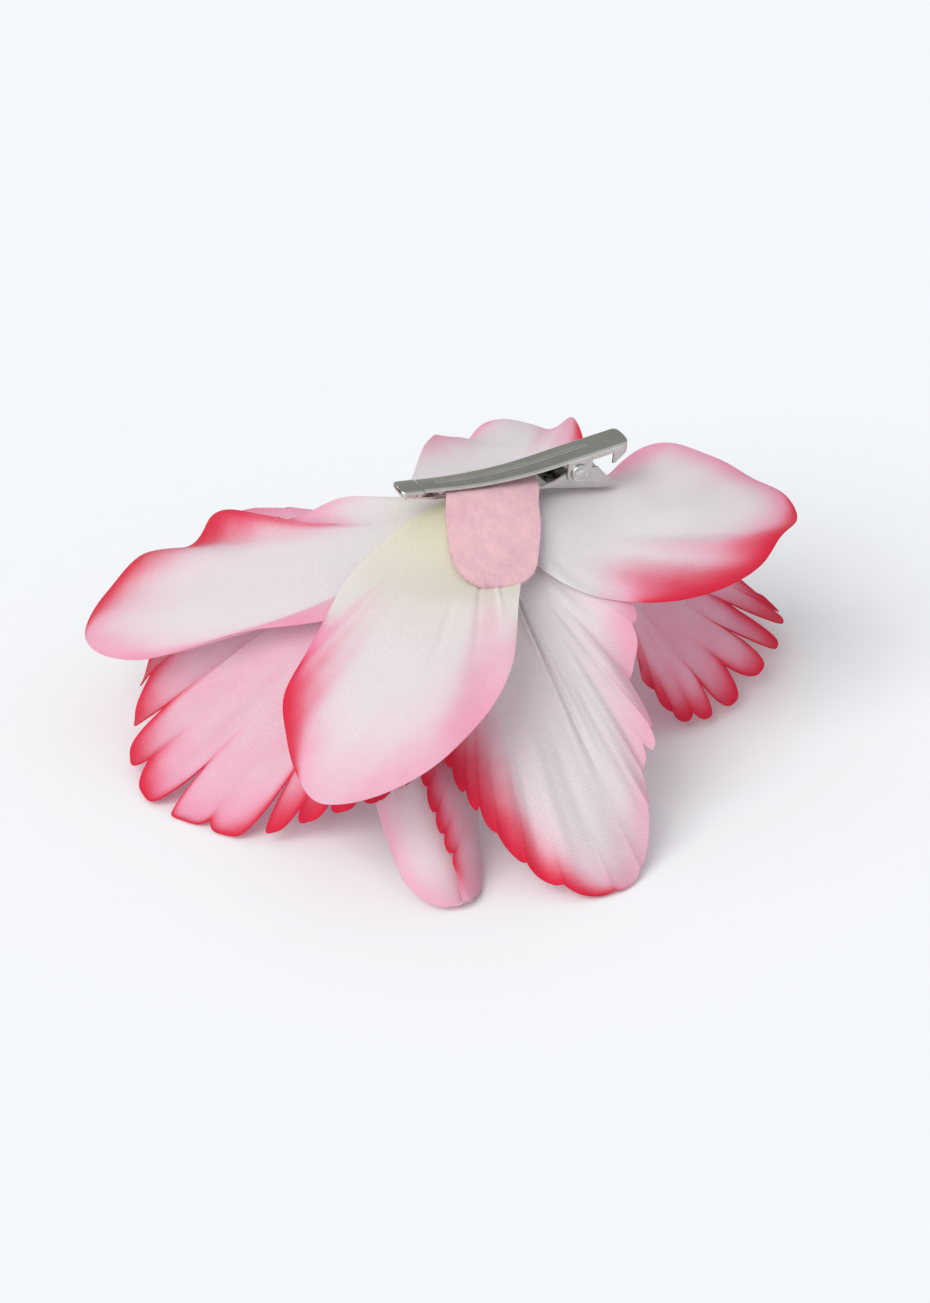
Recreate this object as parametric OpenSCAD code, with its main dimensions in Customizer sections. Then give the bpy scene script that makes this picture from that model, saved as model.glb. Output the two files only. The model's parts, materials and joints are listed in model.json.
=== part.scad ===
// Flower hair clip: an orchid of fabric petals, face down, with an alligator clip on its back.
// Millimetres, +Z up. The origin is under the middle of the flower, on the table it lies on.

/* [Flower] */
// Height of the flower's back above the table
hub_height = 52; // [43:1:63]
// Size of the flower in plan, as a share of its full size
flower_scale = 1; // [0.8:0.05:1.2]
// Thickness of a stiffened fabric petal
petal_t = 0.45; // [0.3:0.05:0.55]
// Height between two petals where they are stacked at the middle
layer_pitch = 0.8; // [0.75:0.05:1]

/* [Lever] */
// Length from the pivot to the tip
tip_reach = 38.5; // [30:0.5:48]
// Length from the pivot to the lever's thumb end
thumb_reach = 10.5; // [9:0.5:13]
// Width of the lever at the ears
lever_w = 7.1; // [6.3:0.1:9]
// Width of the lever behind its tip
lever_nose_w = 5.2; // [4.6:0.1:6]
// Width of the flat pad at the lever's tip
lever_pad_w = 5.8; // [5.2:0.1:6.6]
// Thickness of the steel sheet
sheet = 0.5; // [0.4:0.05:0.6]
// Depth of the lever's rolled flange
flange = 1; // [0.8:0.1:1.3]
// Angle that the lever bends up by between its tip and its thumb end
lever_bend = 12.5; // [8:0.5:15]

/* [Jaw] */
// Depth of the jaw's underside below the pivot
jaw_drop = 2.9; // [2.7:0.1:3.6]
// Length from the pivot to the end of the jaw's thumb tail
tail_reach = 8.7; // [7.5:0.1:11]
// Fall of the thumb tail behind the jaw's bend
tail_fall = 6; // [3:1:12]
// Gap on each side between the lever's ears and the jaw's ears
side_gap = 0.15; // [0.1:0.05:0.25]

/* [Pivot] */
// Radius of the rivet's shank
rivet_r = 1; // [0.8:0.1:1.2]
// Radius of the rivet's heads
rivet_head_r = 1.9; // [1.6:0.1:2.2]
// Radial clearance of the rivet in the lever's ears
pivot_play = 0.05; // [0.02:0.01:0.09]
// Diameter of the spring's wire
wire_d = 0.6; // [0.4:0.1:0.6]
// Whole turns of the spring
spring_turns = 3; // [2:1:4]

/* [Back] */
// Thickness of the felt
felt_t = 0.8; // [0.6:0.1:1]
// Width of the felt patch
felt_w = 19; // [15:1:22]
// Length of the felt patch towards the front sepal
felt_front = 22; // [16:1:24]
// Length of the felt patch behind the middle
felt_back = 13; // [10:1:15]
// Height of the glue between the flower and the jaw
glue_gap = 1.2; // [1.1:0.1:2]
// Radius of the peg through the petals' bases
peg_r = 2.2; // [1.6:0.1:2.4]
// Radius of the disc under the petals
disc_r = 8; // [6:0.5:10]
// Thickness of the disc under the petals
disc_t = 1.4; // [1:0.1:2]
// Length of the column in the flower's face
column_len = 20; // [14:1:24]

/* [Hidden] */
$fn = 48;

full_height = 52;      // height for which the petals' points are given
clear = 0.1;           // gap between pieces that are glued
press = 0.01;          // gap of a pressed joint
steps_along = 24;      // stations along a petal
steps_across = 10;     // stations across a petal

nickel = [0.72, 0.72, 0.70];
blush = [0.96, 0.90, 0.93];
rose = [0.95, 0.62, 0.76];
felt_pink = [0.89, 0.71, 0.73];

// ---- Curves ----
function unit(v) = v / norm(v);
function mix(a, b, t) = a + (b - a) * t;
function smooth(t) = let(c = min(max(t, 0), 1)) c * c * (3 - 2 * c);
function bezier(p, u) =
    pow(1 - u, 3) * p[0] + 3 * u * pow(1 - u, 2) * p[1] + 3 * u * u * (1 - u) * p[2] + pow(u, 3) * p[3];
function bezier_way(p, u) =
    unit(pow(1 - u, 2) * (p[1] - p[0]) + 2 * u * (1 - u) * (p[2] - p[1]) + u * u * (p[3] - p[2]));
function knot(v, k) =
    k < 0 ? 2 * v[0] - v[1] : k >= len(v) ? 2 * v[len(v) - 1] - v[len(v) - 2] : v[k];
// Smooth curve through values at equal steps
function through(v, u) =
    let(
        n = len(v) - 1, i = min(floor(u * n), n - 1), t = u * n - i,
        a = knot(v, i - 1), b = v[i], c = v[i + 1], d = knot(v, i + 2)
    )
    0.5 * (2 * b + (c - a) * t + (2 * a - 5 * b + 4 * c - d) * t * t + (3 * b - a - 3 * c + d) * t * t * t);

// ---- Solid from a grid of points: the middle surface, thickened both ways ----
function grid_normal(g, i, j) =
    unit(cross(
        g[min(i + 1, len(g) - 1)][j] - g[max(i - 1, 0)][j],
        g[i][min(j + 1, len(g[0]) - 1)] - g[i][max(j - 1, 0)]
    ));
function thickened(g, t) = [
    for (side = [1, -1], i = [0:len(g) - 1], j = [0:len(g[0]) - 1])
        g[i][j] + grid_normal(g, i, j) * side * t / 2
];
module sheet_solid(g, t) {
    rows = len(g);
    cols = len(g[0]);
    under = rows * cols;
    rim = concat(
        [for (j = [0:cols - 1]) j],
        [for (i = [1:rows - 1]) i * cols + cols - 1],
        [for (j = [cols - 2:-1:0]) (rows - 1) * cols + j],
        [for (i = [rows - 2:-1:1]) i * cols]
    );
    faces = concat(
        [for (i = [0:rows - 2], j = [0:cols - 2]) let(a = i * cols + j) each
            [[a, a + 1, a + cols], [a + 1, a + cols + 1, a + cols]]],
        [for (i = [0:rows - 2], j = [0:cols - 2]) let(a = under + i * cols + j) each
            [[a, a + cols, a + 1], [a + 1, a + cols, a + cols + 1]]],
        [for (k = [0:len(rim) - 1]) let(a = rim[k], b = rim[(k + 1) % len(rim)]) each
            [[a, a + under, b], [b, a + under, b + under]]]
    );
    polyhedron(points = thickened(g, t), faces = faces, convexity = 8);
}

// ---- The flower's back: a low dome that the petals' bases share ----
dome_side = 0.008;     // curvature to the left and right
dome_front = 0.020;    // curvature towards the front
dome_back = 0.006;     // curvature towards the back
dome_inner = 9;        // radius inside which a petal lies on the dome
dome_outer = 32;       // radius outside which a petal has its own shape

function dome(x, y, layer) =
    hub_height - layer * layer_pitch
    - (dome_side * x * x + (y < 0 ? dome_front : dome_back) * y * y) / pow(flower_scale, 2);

// ---- Petals ----
// Each row: name, layer, spine points, left and right half widths, roll, cup, tip power, wave.
// The spine is a cubic Bezier from the middle outwards, for the full size and height.
// Half widths are at equal steps from base to tip; roll and cup at the base, middle and tip.
// The wave is the ruffle's height on the left and right edges, its count and its phase.
PETALS = [
    ["sepal_front", 0, [[-1.5, -3, 52], [-15.5, -31, 44.5], [-20.5, -51, 37], [-34.5, -61.5, 21]],
        [9, 17, 23.5, 23, 18.5], [9, 19.5, 22, 23.5, 19.5], [-1, 11, 10], [-2, 16, 7], 8, [0, 0, 0, 0]],
    ["sepal_left", 1, [[-3.5, 0, 51], [-35.5, -16, 39.5], [-61, -4.5, 35.5], [-79.5, 12.5, 23]],
        [10.5, 15.5, 14, 20.5, 23.5], [8, 15.5, 15, 22.5, 22], [-13, -23, -15], [-7, 1, 18],
        7, [0, 1.2, 4, 60]],
    ["sepal_right", 2, [[3.5, 1, 50.5], [27.5, -5, 47], [44.5, 8.5, 49.5], [53.5, 22.5, 45.5]],
        [11, 17.5, 21.5, 23, 22], [10, 22.5, 24.5, 20, 20], [18, 6, 13], [-1, 25, -14], 8, [0, 0, 0, 0]],
    ["sepal_back", 3, [[0, 3.5, 49.5], [4, 32, 52], [5, 49.5, 44], [0, 64, 36.5]],
        [18.5, 17, 15, 12.5, 11], [14, 16.5, 15, 12.5, 12.5], [15, -6, -5], [10, -12, 47], 8, [0, 0, 3, 0]],
    ["petal_left", 4, [[-3.5, -1, 49], [-33, -9, 40], [-43.5, -19.5, 26.5], [-72.5, -21, 3.5]],
        [8.5, 26.5, 43, 37.5, 35.5], [9, 25.5, 40.5, 40.5, 37], [14, -15, -9], [1, 13, 49], 8, [0, 0, 0, 0]],
    ["petal_front", 5, [[0.5, -3.5, 48], [0.5, -17.5, 45.5], [5, -33, 34], [23, -63.5, 0.5]],
        [9.5, 16.5, 23.5, 20.5, 16], [9.5, 16.5, 21.5, 22, 18.5], [0, 8, 0], [5, 3, 11], 10, [0, 0, 0, 0]],
    ["petal_right", 6, [[3, 1, 47], [20, 16, 35.5], [40.5, 26.5, 14.5], [59.5, 20, 8.5]],
        [9.5, 20.5, 29.5, 34, 34.5], [9.5, 19.5, 27.5, 31.5, 30.5], [1, 16, 1], [0, 29, 37],
        8, [0, 0, 0, 0]],
    ["lip", 7, [[-1, -3.5, 46.5], [-15.5, -24.5, 34], [-17.5, -44, 15.5], [-8, -69.5, 1.5]],
        [6.5, 9, 11.5, 12.5, 12.5], [6.5, 10, 12.5, 10.5, 8], [1, 0, 2], [10, 49, 77], 12, [0, 0, 0, 0]]
];

function petal_row(name) = PETALS[search([name], PETALS)[0]];
function scaled(p) = [p.x * flower_scale, p.y * flower_scale, p.z * hub_height / full_height];

// One point of a petal: u from base to tip, v from the right edge (-1) to the left edge (1)
function petal_point(row, spine, u, v) =
    let(
        way = bezier_way(spine, u),
        flat_left = unit(cross([0, 0, 1], way)),
        flat_up = cross(way, flat_left),
        roll = through(row[5], u),
        left = flat_left * cos(roll) + flat_up * sin(roll),
        up = flat_up * cos(roll) - flat_left * sin(roll),
        half = flower_scale * abs(through(row[3], u) + through(row[4], u)) / 2,
        side = v * flower_scale * through(v > 0 ? row[3] : row[4], u) * sqrt(1 - pow(u, row[7])),
        bend = through(row[6], u) / half,
        flat = abs(bend) < 0.001,
        reach = flat ? side : sin(bend * side) * 180 / PI / bend,
        sag = flat ? 0 : (1 - cos(bend * side)) * 180 / PI / bend,
        wave = row[8],
        height = (v > 0 ? wave[0] : wave[1]) * pow(abs(v), 3) * min(1, 3 * u),
        ruffle = height * sin(360 * wave[2] * u + wave[3]),
        p = bezier(spine, u) + left * reach + up * (ruffle - sag),
        own = smooth((norm([p.x, p.y]) / flower_scale - dome_inner) / (dome_outer - dome_inner))
    )
    [p.x, p.y, mix(dome(p.x, p.y, row[1]), p.z, own)];

last_station = 0.995;  // a petal stops just before its tip, where its width would be nothing
function petal_grid(row) =
    let(spine = [for (p = row[2]) scaled(p)])
    [for (i = [0:steps_along])
        let(u = last_station * (1 - pow(1 - i / steps_along, 1.5)))
        [for (j = [0:steps_across]) petal_point(row, spine, u, 2 * j / steps_across - 1)]];

// ---- Place of the origin: the middle of the flower's plan, on the table ----
all_points = [for (row = PETALS) each thickened(petal_grid(row), petal_t)];
low = [for (k = [0:2]) min([for (p = all_points) p[k]])];
high = [for (k = [0:2]) max([for (p = all_points) p[k]])];
to_origin = -[(low.x + high.x) / 2, (low.y + high.y) / 2, low.z];

module petal(name, colour) {
    color(colour) translate(to_origin) sheet_solid(petal_grid(petal_row(name)), petal_t);
}

// ---- The clip's own frame: origin on the pivot, +X to the thumb end, +Y along the rivet ----
clip_yaw = 24;         // turn of the clip over the flower
clip_pitch = 5;        // fall of the clip towards its thumb end
clip_behind = 3;       // distance of the clip's middle line behind the flower's middle
pivot_from_middle = 17.7;
pivot_at = [
    pivot_from_middle * cos(clip_pitch) * cos(clip_yaw),
    clip_behind + pivot_from_middle * cos(clip_pitch) * sin(clip_yaw),
    hub_height + glue_gap - pivot_from_middle * sin(clip_pitch) + jaw_drop * cos(clip_pitch)
];
module on_clip() {
    translate(to_origin + pivot_at) rotate([0, clip_pitch, clip_yaw]) children();
}
// A side view (x, z) carried across the clip
module across(w) {
    rotate([90, 0, 0]) linear_extrude(height = w, center = true) children();
}
// A plan view (x, y) carried through the clip's height
module upright() {
    translate([0, 0, -20]) linear_extrude(height = 40) children();
}
module tapered_plan(stations) {
    polygon(concat(
        [for (s = stations) [s.x, s.y]],
        [for (k = [len(stations) - 1:-1:0]) [stations[k].x, -stations[k].y]]
    ));
}

// ---- Upper lever ----
arc_end = -7;          // the bend ends here, ahead of the ears
arc_len = 21;          // length of the bend
arc_steps = 12;
arc_r = arc_len / sin(lever_bend);
pad_len = 4.6;         // length of the flat pad at the tip
wide_from = -6;        // the lever is at its full width behind here
ear_r = 2.7;           // radius of the lever's ears
deep_flange = 1.7;     // depth of the flange behind the ears
tab_depth = 4.2;       // depth of the tab at the thumb end
tab_len = 3.2;         // length of the tab
tab_end = 1.3;         // depth of the tab's far end

function lever_rise(x) =
    x < arc_end - arc_len ? 0
    : x < arc_end ? arc_r * (1 - cos(asin((x - arc_end + arc_len) / arc_r)))
    : arc_r * (1 - cos(lever_bend)) + (x - arc_end) * tan(lever_bend);
lever_xs = concat(
    [-tip_reach],
    [for (k = [0:arc_steps]) arc_end - arc_len + arc_len * k / arc_steps],
    [thumb_reach]
);
// Closed side outline between two depths below the lever's top
function lever_band(from, to, depth_a, depth_b) =
    let(xs = concat([from], [for (x = lever_xs) if (x > from && x < to) x], [to]))
    concat(
        [for (x = xs) [x, lever_rise(x) - depth_a]],
        [for (k = [len(xs) - 1:-1:0]) [xs[k], lever_rise(xs[k]) - depth_b]]
    );

tooth_depth = 0.9;
tooth_pitch = 1.5;
teeth = 3;
catch_x = 7.6;         // distance of the rear catch behind the tip

function tooth(x) = [[x + tooth_pitch / 2, -flange - tooth_depth], [x, -flange]];
module lever_side() {
    tab_from = thumb_reach - tab_len;
    polygon(concat(
        [for (x = lever_xs) [x, lever_rise(x)]],
        [
            [thumb_reach, lever_rise(thumb_reach) - tab_end],
            [tab_from + sheet, lever_rise(tab_from) - tab_depth],
            [tab_from, lever_rise(tab_from) - tab_depth],
            [tab_from, lever_rise(tab_from) - deep_flange],
            [ear_r, lever_rise(ear_r) - deep_flange]
        ],
        [for (a = [0:-15:-180]) ear_r * [cos(a), sin(a)]],
        [[-ear_r, lever_rise(-ear_r) - flange]],
        [for (k = [arc_steps:-1:0]) let(x = arc_end - arc_len + arc_len * k / arc_steps)
            [x, lever_rise(x) - flange]],
        [[catch_x - tip_reach + tooth_pitch, -flange]],
        tooth(catch_x - tip_reach),
        [[tooth_pitch * teeth - tip_reach, -flange]],
        [for (k = [teeth - 1:-1:0]) each tooth(tooth_pitch * k - tip_reach)]
    ));
}
// The lever's half widths, set in by the sheet's thickness for its inside
function lever_stations(inset, over) = [
    [-tip_reach - over, lever_pad_w / 2 - inset - (over > 0 ? 0 : 0.8)],
    [-tip_reach + 0.8, lever_pad_w / 2 - inset],
    [-tip_reach + pad_len, lever_pad_w / 2 - inset],
    [-tip_reach + pad_len + 0.4, lever_nose_w / 2 - inset],
    [wide_from, lever_w / 2 - inset],
    [thumb_reach - 0.8, lever_w / 2 - inset],
    [thumb_reach + over, lever_w / 2 - inset - (over > 0 ? 0 : 0.8)]
];

groove_w = 0.9;        // pressed groove along the lever
groove_depth = 0.2;
groove_from = 7;       // distance of the groove behind the tip
groove_to = 3.2;
dot_x = 4.4;           // round mark behind the groove
dimple_r = 9;          // radius of the ball that presses the thumb dimple
dimple_depth = 0.28;

module upper_lever() {
    color(nickel) on_clip() difference() {
        intersection() {
            across(lever_w + 2) lever_side();
            upright() tapered_plan(lever_stations(0, 0));
        }
        intersection() {
            across(lever_w + 2) polygon(lever_band(-tip_reach - 1, thumb_reach + 1, sheet, 12));
            upright() tapered_plan(lever_stations(sheet, 1));
        }
        rotate([90, 0, 0]) cylinder(r = rivet_r + pivot_play, h = lever_w + 2, center = true);
        across(groove_w) polygon(lever_band(-tip_reach + groove_from, groove_to, -1, groove_depth));
        translate([dot_x, 0, lever_rise(dot_x)]) rotate([0, -lever_bend, 0])
            translate([0, 0, 0.35]) sphere(0.6);
        translate([7.8, 0, lever_rise(7.8)]) rotate([0, -lever_bend, 0])
            translate([0, 0, dimple_r - dimple_depth]) sphere(dimple_r);
    }
}

// ---- Lower jaw ----
bend_x = -6.5;          // the tail starts to fall here
nose_rise_from = 6.5;  // the jaw's nose rises over this length
nose_top = 1.2;        // depth of the jaw's nose below the lever's top
nose_in = 0.3;         // the jaw's nose ends this far behind the lever's tip
wall_from = -7.5;      // the side walls start here
jaw_ear_r = 2.2;
tail_flat = 4.5;       // the walls start to slope down here

function jaw_under(x) = -jaw_drop - (x > bend_x ? (x - bend_x) * tan(tail_fall) : 0);
jaw_half = lever_w / 2 - sheet - side_gap;
jaw_nose_half = lever_nose_w / 2 - sheet - side_gap;

module jaw_side() {
    nose = -tip_reach + nose_in;
    polygon([
        [nose, -nose_top - sheet],
        [nose + nose_rise_from, -jaw_drop],
        [bend_x, jaw_under(bend_x)],
        [tail_reach, jaw_under(tail_reach)],
        [tail_reach, jaw_under(tail_reach) + sheet],
        [bend_x, jaw_under(bend_x) + sheet],
        [nose + nose_rise_from, -jaw_drop + sheet],
        [nose, -nose_top]
    ]);
    polygon([
        [wall_from, -jaw_drop],
        [bend_x, jaw_under(bend_x)],
        [tail_reach, jaw_under(tail_reach)],
        [tail_reach, jaw_under(tail_reach) + sheet + 0.2],
        [tail_flat, 0.55],
        [jaw_ear_r, 0.55],
        [-jaw_ear_r, 0],
        [bend_x + 1.5, -jaw_drop + sheet + 0.9],
        [wall_from, -jaw_drop + sheet + 0.1]
    ]);
    circle(jaw_ear_r);
}
function jaw_stations(inset, over) = [
    [-tip_reach + nose_in - over, jaw_nose_half - inset],
    [-tip_reach + pad_len, jaw_nose_half - inset],
    [wide_from, jaw_half - inset],
    [tail_reach + over, jaw_half - inset]
];
module lower_jaw() {
    color(nickel) on_clip() difference() {
        intersection() {
            across(lever_w) jaw_side();
            upright() tapered_plan(jaw_stations(0, 0));
        }
        intersection() {
            across(lever_w) polygon([
                [-tip_reach - 1, -nose_top],
                [-tip_reach + nose_in, -nose_top],
                [-tip_reach + nose_in + nose_rise_from, -jaw_drop + sheet],
                [bend_x, jaw_under(bend_x) + sheet],
                [tail_reach + 1, jaw_under(tail_reach + 1) + sheet],
                [tail_reach + 1, 8],
                [-tip_reach - 1, 8]
            ]);
            upright() tapered_plan(jaw_stations(sheet, 1));
        }
        rotate([90, 0, 0]) cylinder(r = rivet_r + press, h = lever_w + 2, center = true);
    }
}

// ---- Rivet: shank, two low domed heads and the hollow of its rolled end ----
head_t = 0.55;
head_gap = 0.08;       // running gap between a head and the lever's ear
recess_r = 0.75;
module pivot_rivet() {
    face = lever_w / 2 + head_gap;
    color([0.80, 0.80, 0.79]) on_clip() rotate([90, 0, 0]) rotate_extrude() polygon([
        [0, -face - head_t],
        [rivet_head_r * 0.6, -face - head_t],
        [rivet_head_r, -face - head_t * 0.4],
        [rivet_head_r, -face],
        [rivet_r, -face],
        [rivet_r, face],
        [rivet_head_r, face],
        [rivet_head_r, face + head_t * 0.4],
        [rivet_head_r * 0.7, face + head_t],
        [recess_r, face + head_t],
        [recess_r, face + head_t - 0.35],
        [0, face + head_t - 0.35]
    ]);
}

// ---- Torsion spring: a coil round the shank with a leg under the lever and one on the jaw ----
coil_gap = 0.2;        // gap between the coil and the shank
coil_r = rivet_r + coil_gap + wire_d / 2;
coil_pitch = wire_d + 0.06;
upper_angle = 22;      // rise of the leg under the lever
lower_angle = 15;      // fall of the leg on the jaw
leg_gap = 0.05;
wire_sides = 8;
turn_steps = 20;
coil_from = 90 + upper_angle;
coil_to = 270 - lower_angle + 360 * spring_turns;
coil_len = coil_pitch * (coil_to - coil_from) / 360;
// Length of a leg until it meets the sheet that it pushes on
leg_up = let(
        x0 = coil_r * cos(coil_from), z0 = coil_r * sin(coil_from),
        reach = (lever_rise(0) - sheet - wire_d / 2 - leg_gap - z0 + tan(lever_bend) * x0)
            / (tan(upper_angle) - tan(lever_bend))
    ) reach / cos(upper_angle);
leg_down = let(
        x0 = coil_r * cos(coil_to), z0 = coil_r * sin(coil_to),
        reach = (z0 - jaw_under(x0) - sheet - wire_d / 2 - leg_gap) / (tan(lower_angle) - tan(tail_fall))
    ) reach / cos(lower_angle);
function coil_ring(a, y, shift) = [for (k = [0:wire_sides - 1])
    let(t = 360 * k / wire_sides, r = coil_r + wire_d / 2 * cos(t))
    [r * cos(a) + shift.x, y + wire_d / 2 * sin(t), r * sin(a) + shift.y]];
module torsion_spring() {
    steps = round((coil_to - coil_from) / 360 * turn_steps);
    rings = concat(
        [coil_ring(coil_from, coil_len / 2, leg_up * [cos(upper_angle), sin(upper_angle)])],
        [for (k = [0:steps])
            coil_ring(mix(coil_from, coil_to, k / steps), coil_len * (0.5 - k / steps), [0, 0])],
        [coil_ring(coil_to, -coil_len / 2, leg_down * [cos(lower_angle), -sin(lower_angle)])]
    );
    last = (len(rings) - 1) * wire_sides;
    color([0.62, 0.62, 0.62]) on_clip() polyhedron(
        points = [for (r = rings) each r],
        faces = concat(
            [[for (k = [0:wire_sides - 1]) k]],
            [for (i = [0:len(rings) - 2], k = [0:wire_sides - 1])
                let(a = i * wire_sides + k, b = i * wire_sides + (k + 1) % wire_sides) each
                [[a, a + wire_sides, b], [b, a + wire_sides, b + wire_sides]]],
            [[for (k = [wire_sides - 1:-1:0]) last + k]]
        ),
        convexity = 10
    );
}

// ---- Felt patch: a strip with round ends, laid over the jaw and down the front sepal ----
felt_steps = 18;
felt_across = 14;
felt_lift = 0.35;      // gap between the felt and the sepal under it
hump_flat = 0.7;       // the felt is flat over the jaw and this far past its sides
hump_fall = 3.4;       // it falls to the flower over this width
felt_ends = 5;         // power of the outline's round ends
felt_knee = 11;        // the felt falls evenly beyond this distance in front of the middle
felt_slope = 0.33;     // its fall per millimetre there

// Height of the top of the jaw's strip over a point of the plan
function clip_xy(x, y) = [
    (x - pivot_at.x) * cos(clip_yaw) + (y - pivot_at.y) * sin(clip_yaw),
    -(x - pivot_at.x) * sin(clip_yaw) + (y - pivot_at.y) * cos(clip_yaw)
];
function over_jaw(q) = pivot_at.z - q.x * sin(clip_pitch) + (jaw_under(q.x) + sheet) * cos(clip_pitch);
function felt_rest(x, y) =
    hub_height + petal_t / 2 + felt_lift + felt_t / 2
    - (dome_side * x * x + (y < 0 ? felt_drop(y) : dome_back * y * y)) / pow(flower_scale, 2);
function felt_drop(y) =
    dome_front * pow(min(-y, felt_knee), 2) + max(0, -y - felt_knee) * felt_slope;
function felt_point(x, y) =
    let(
        q = clip_xy(x, y),
        edge = lever_w / 2 - sheet + hump_flat,
        hump = 1 - smooth((abs(q.y) - edge) / hump_fall),
        base = felt_rest(x, y)
    )
    [x, y, mix(base, max(base, over_jaw(q) + clear + felt_t / 2), hump)];
felt_grid = [for (i = [0:felt_steps])
    let(
        s = mix(-0.992, 0.992, i / felt_steps),
        half = felt_w / 2 * sqrt(1 - pow(abs(s), felt_ends)),
        y = mix(felt_back, -felt_front, (s + 1) / 2)
    )
    [for (j = [0:felt_across]) felt_point(half * (2 * j / felt_across - 1), y)]];
module felt_patch() {
    color(felt_pink) translate(to_origin) sheet_solid(felt_grid, felt_t);
}

// ---- Glue pad: fills the space between the flower's back and the jaw, under the felt ----
pad_steps = 6;
pad_from = -25.5;
pad_to = -11;
pad_w = 4;
module glue_pad() {
    under_jaw = [for (x = [pad_to, pad_from]) [x, -jaw_drop - clear]];
    on_flower = [for (k = [0:pad_steps])
        let(
            x = mix(pad_from, pad_to, k / pad_steps),
            at = [
                pivot_at.x + (x * cos(clip_yaw)),
                pivot_at.y + (x * sin(clip_yaw))
            ],
            z = dome(at.x, at.y, 0) + petal_t / 2 + 2 * clear
        )
        [x, (z - pivot_at.z + x * sin(clip_pitch)) / cos(clip_pitch)]];
    color([0.95, 0.92, 0.82]) on_clip() across(pad_w) polygon(concat(under_jaw, on_flower));
}

// ---- Peg, disc, column and cap ----
disc_top = hub_height - 7 * layer_pitch - petal_t / 2 - dome_front * pow(disc_r / flower_scale, 2) - clear;
peg_top = hub_height - 0.4;
socket_depth = 3;
cap_r = 3.2;
module at_middle(z) {
    translate(to_origin + [0, 0, z]) children();
}
module stem_peg() {
    color([0.80, 0.86, 0.62]) at_middle(disc_top - disc_t - socket_depth)
        cylinder(r = peg_r, h = peg_top - disc_top + disc_t + socket_depth);
}
module calyx_disc() {
    color([0.72, 0.80, 0.52]) at_middle(disc_top - disc_t) difference() {
        cylinder(r = disc_r, h = disc_t);
        translate([0, 0, -1]) cylinder(r = peg_r + press, h = disc_t + 2);
    }
}
module column() {
    color([0.97, 0.90, 0.86]) at_middle(disc_top - disc_t - clear) rotate_extrude() polygon([
        [peg_r + press, 0],
        [peg_r + 1.6, 0],
        [peg_r + 0.9, -4],
        [peg_r + 0.4, -column_len * 0.5],
        [cap_r, -column_len * 0.85],
        [cap_r, -column_len],
        [0, -column_len],
        [0, -socket_depth - clear],
        [peg_r + press, -socket_depth - clear]
    ]);
}
module anther_cap() {
    color([0.95, 0.80, 0.45]) at_middle(disc_top - disc_t - 2 * clear - column_len)
    rotate_extrude() intersection() {
        circle(cap_r);
        translate([0, -cap_r]) square([cap_r, cap_r]);
    }
}

upper_lever();
lower_jaw();
pivot_rivet();
torsion_spring();
felt_patch();
glue_pad();
stem_peg();
calyx_disc();
column();
anther_cap();
petal("sepal_front", blush);  // sepal_front
petal("sepal_left", blush);  // sepal_left
petal("sepal_right", blush);  // sepal_right
petal("sepal_back", blush);  // sepal_back
petal("petal_left", rose);  // petal_left
petal("petal_front", blush);  // petal_front
petal("petal_right", rose);  // petal_right
petal("lip", rose);  // lip
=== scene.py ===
import json
import logging
import math
from dataclasses import dataclass, field
from enum import Enum

import bmesh
import bpy
import numpy as np
from mathutils import Matrix, Vector


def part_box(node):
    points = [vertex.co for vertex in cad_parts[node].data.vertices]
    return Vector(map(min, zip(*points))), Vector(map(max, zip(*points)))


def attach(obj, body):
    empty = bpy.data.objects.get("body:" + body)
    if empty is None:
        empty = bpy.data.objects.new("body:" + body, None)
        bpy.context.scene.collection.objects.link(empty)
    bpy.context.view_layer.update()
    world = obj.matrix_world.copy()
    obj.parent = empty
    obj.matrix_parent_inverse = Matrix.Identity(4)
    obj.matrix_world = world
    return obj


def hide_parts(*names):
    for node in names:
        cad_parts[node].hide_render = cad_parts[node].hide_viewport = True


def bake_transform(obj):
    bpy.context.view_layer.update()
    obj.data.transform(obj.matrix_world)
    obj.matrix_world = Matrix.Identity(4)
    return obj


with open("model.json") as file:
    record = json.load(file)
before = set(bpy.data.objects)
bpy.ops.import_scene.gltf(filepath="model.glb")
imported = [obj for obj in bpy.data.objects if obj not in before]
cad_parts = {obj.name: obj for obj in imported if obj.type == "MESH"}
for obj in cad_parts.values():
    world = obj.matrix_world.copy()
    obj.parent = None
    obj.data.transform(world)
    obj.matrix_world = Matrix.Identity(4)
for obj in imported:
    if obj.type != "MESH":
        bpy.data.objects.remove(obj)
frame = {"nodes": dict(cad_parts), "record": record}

log = logging.getLogger("flower_hair_clip")

Array = np.ndarray
MM = 0.001
FULL_HEIGHT = 52.0  # height of the flower's back for which the petals' points are given, in mm


def smooth(t: Array) -> Array:
    """Smooth step: 3c^2 - 2c^3, with c the value held between 0 and 1."""
    c = np.clip(t, 0.0, 1.0)
    return c * c * (3.0 - 2.0 * c)


def unit(v: Array) -> Array:
    """Each vector divided by its own length."""
    return v / np.maximum(np.linalg.norm(v, axis=-1, keepdims=True), 1e-12)


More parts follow.
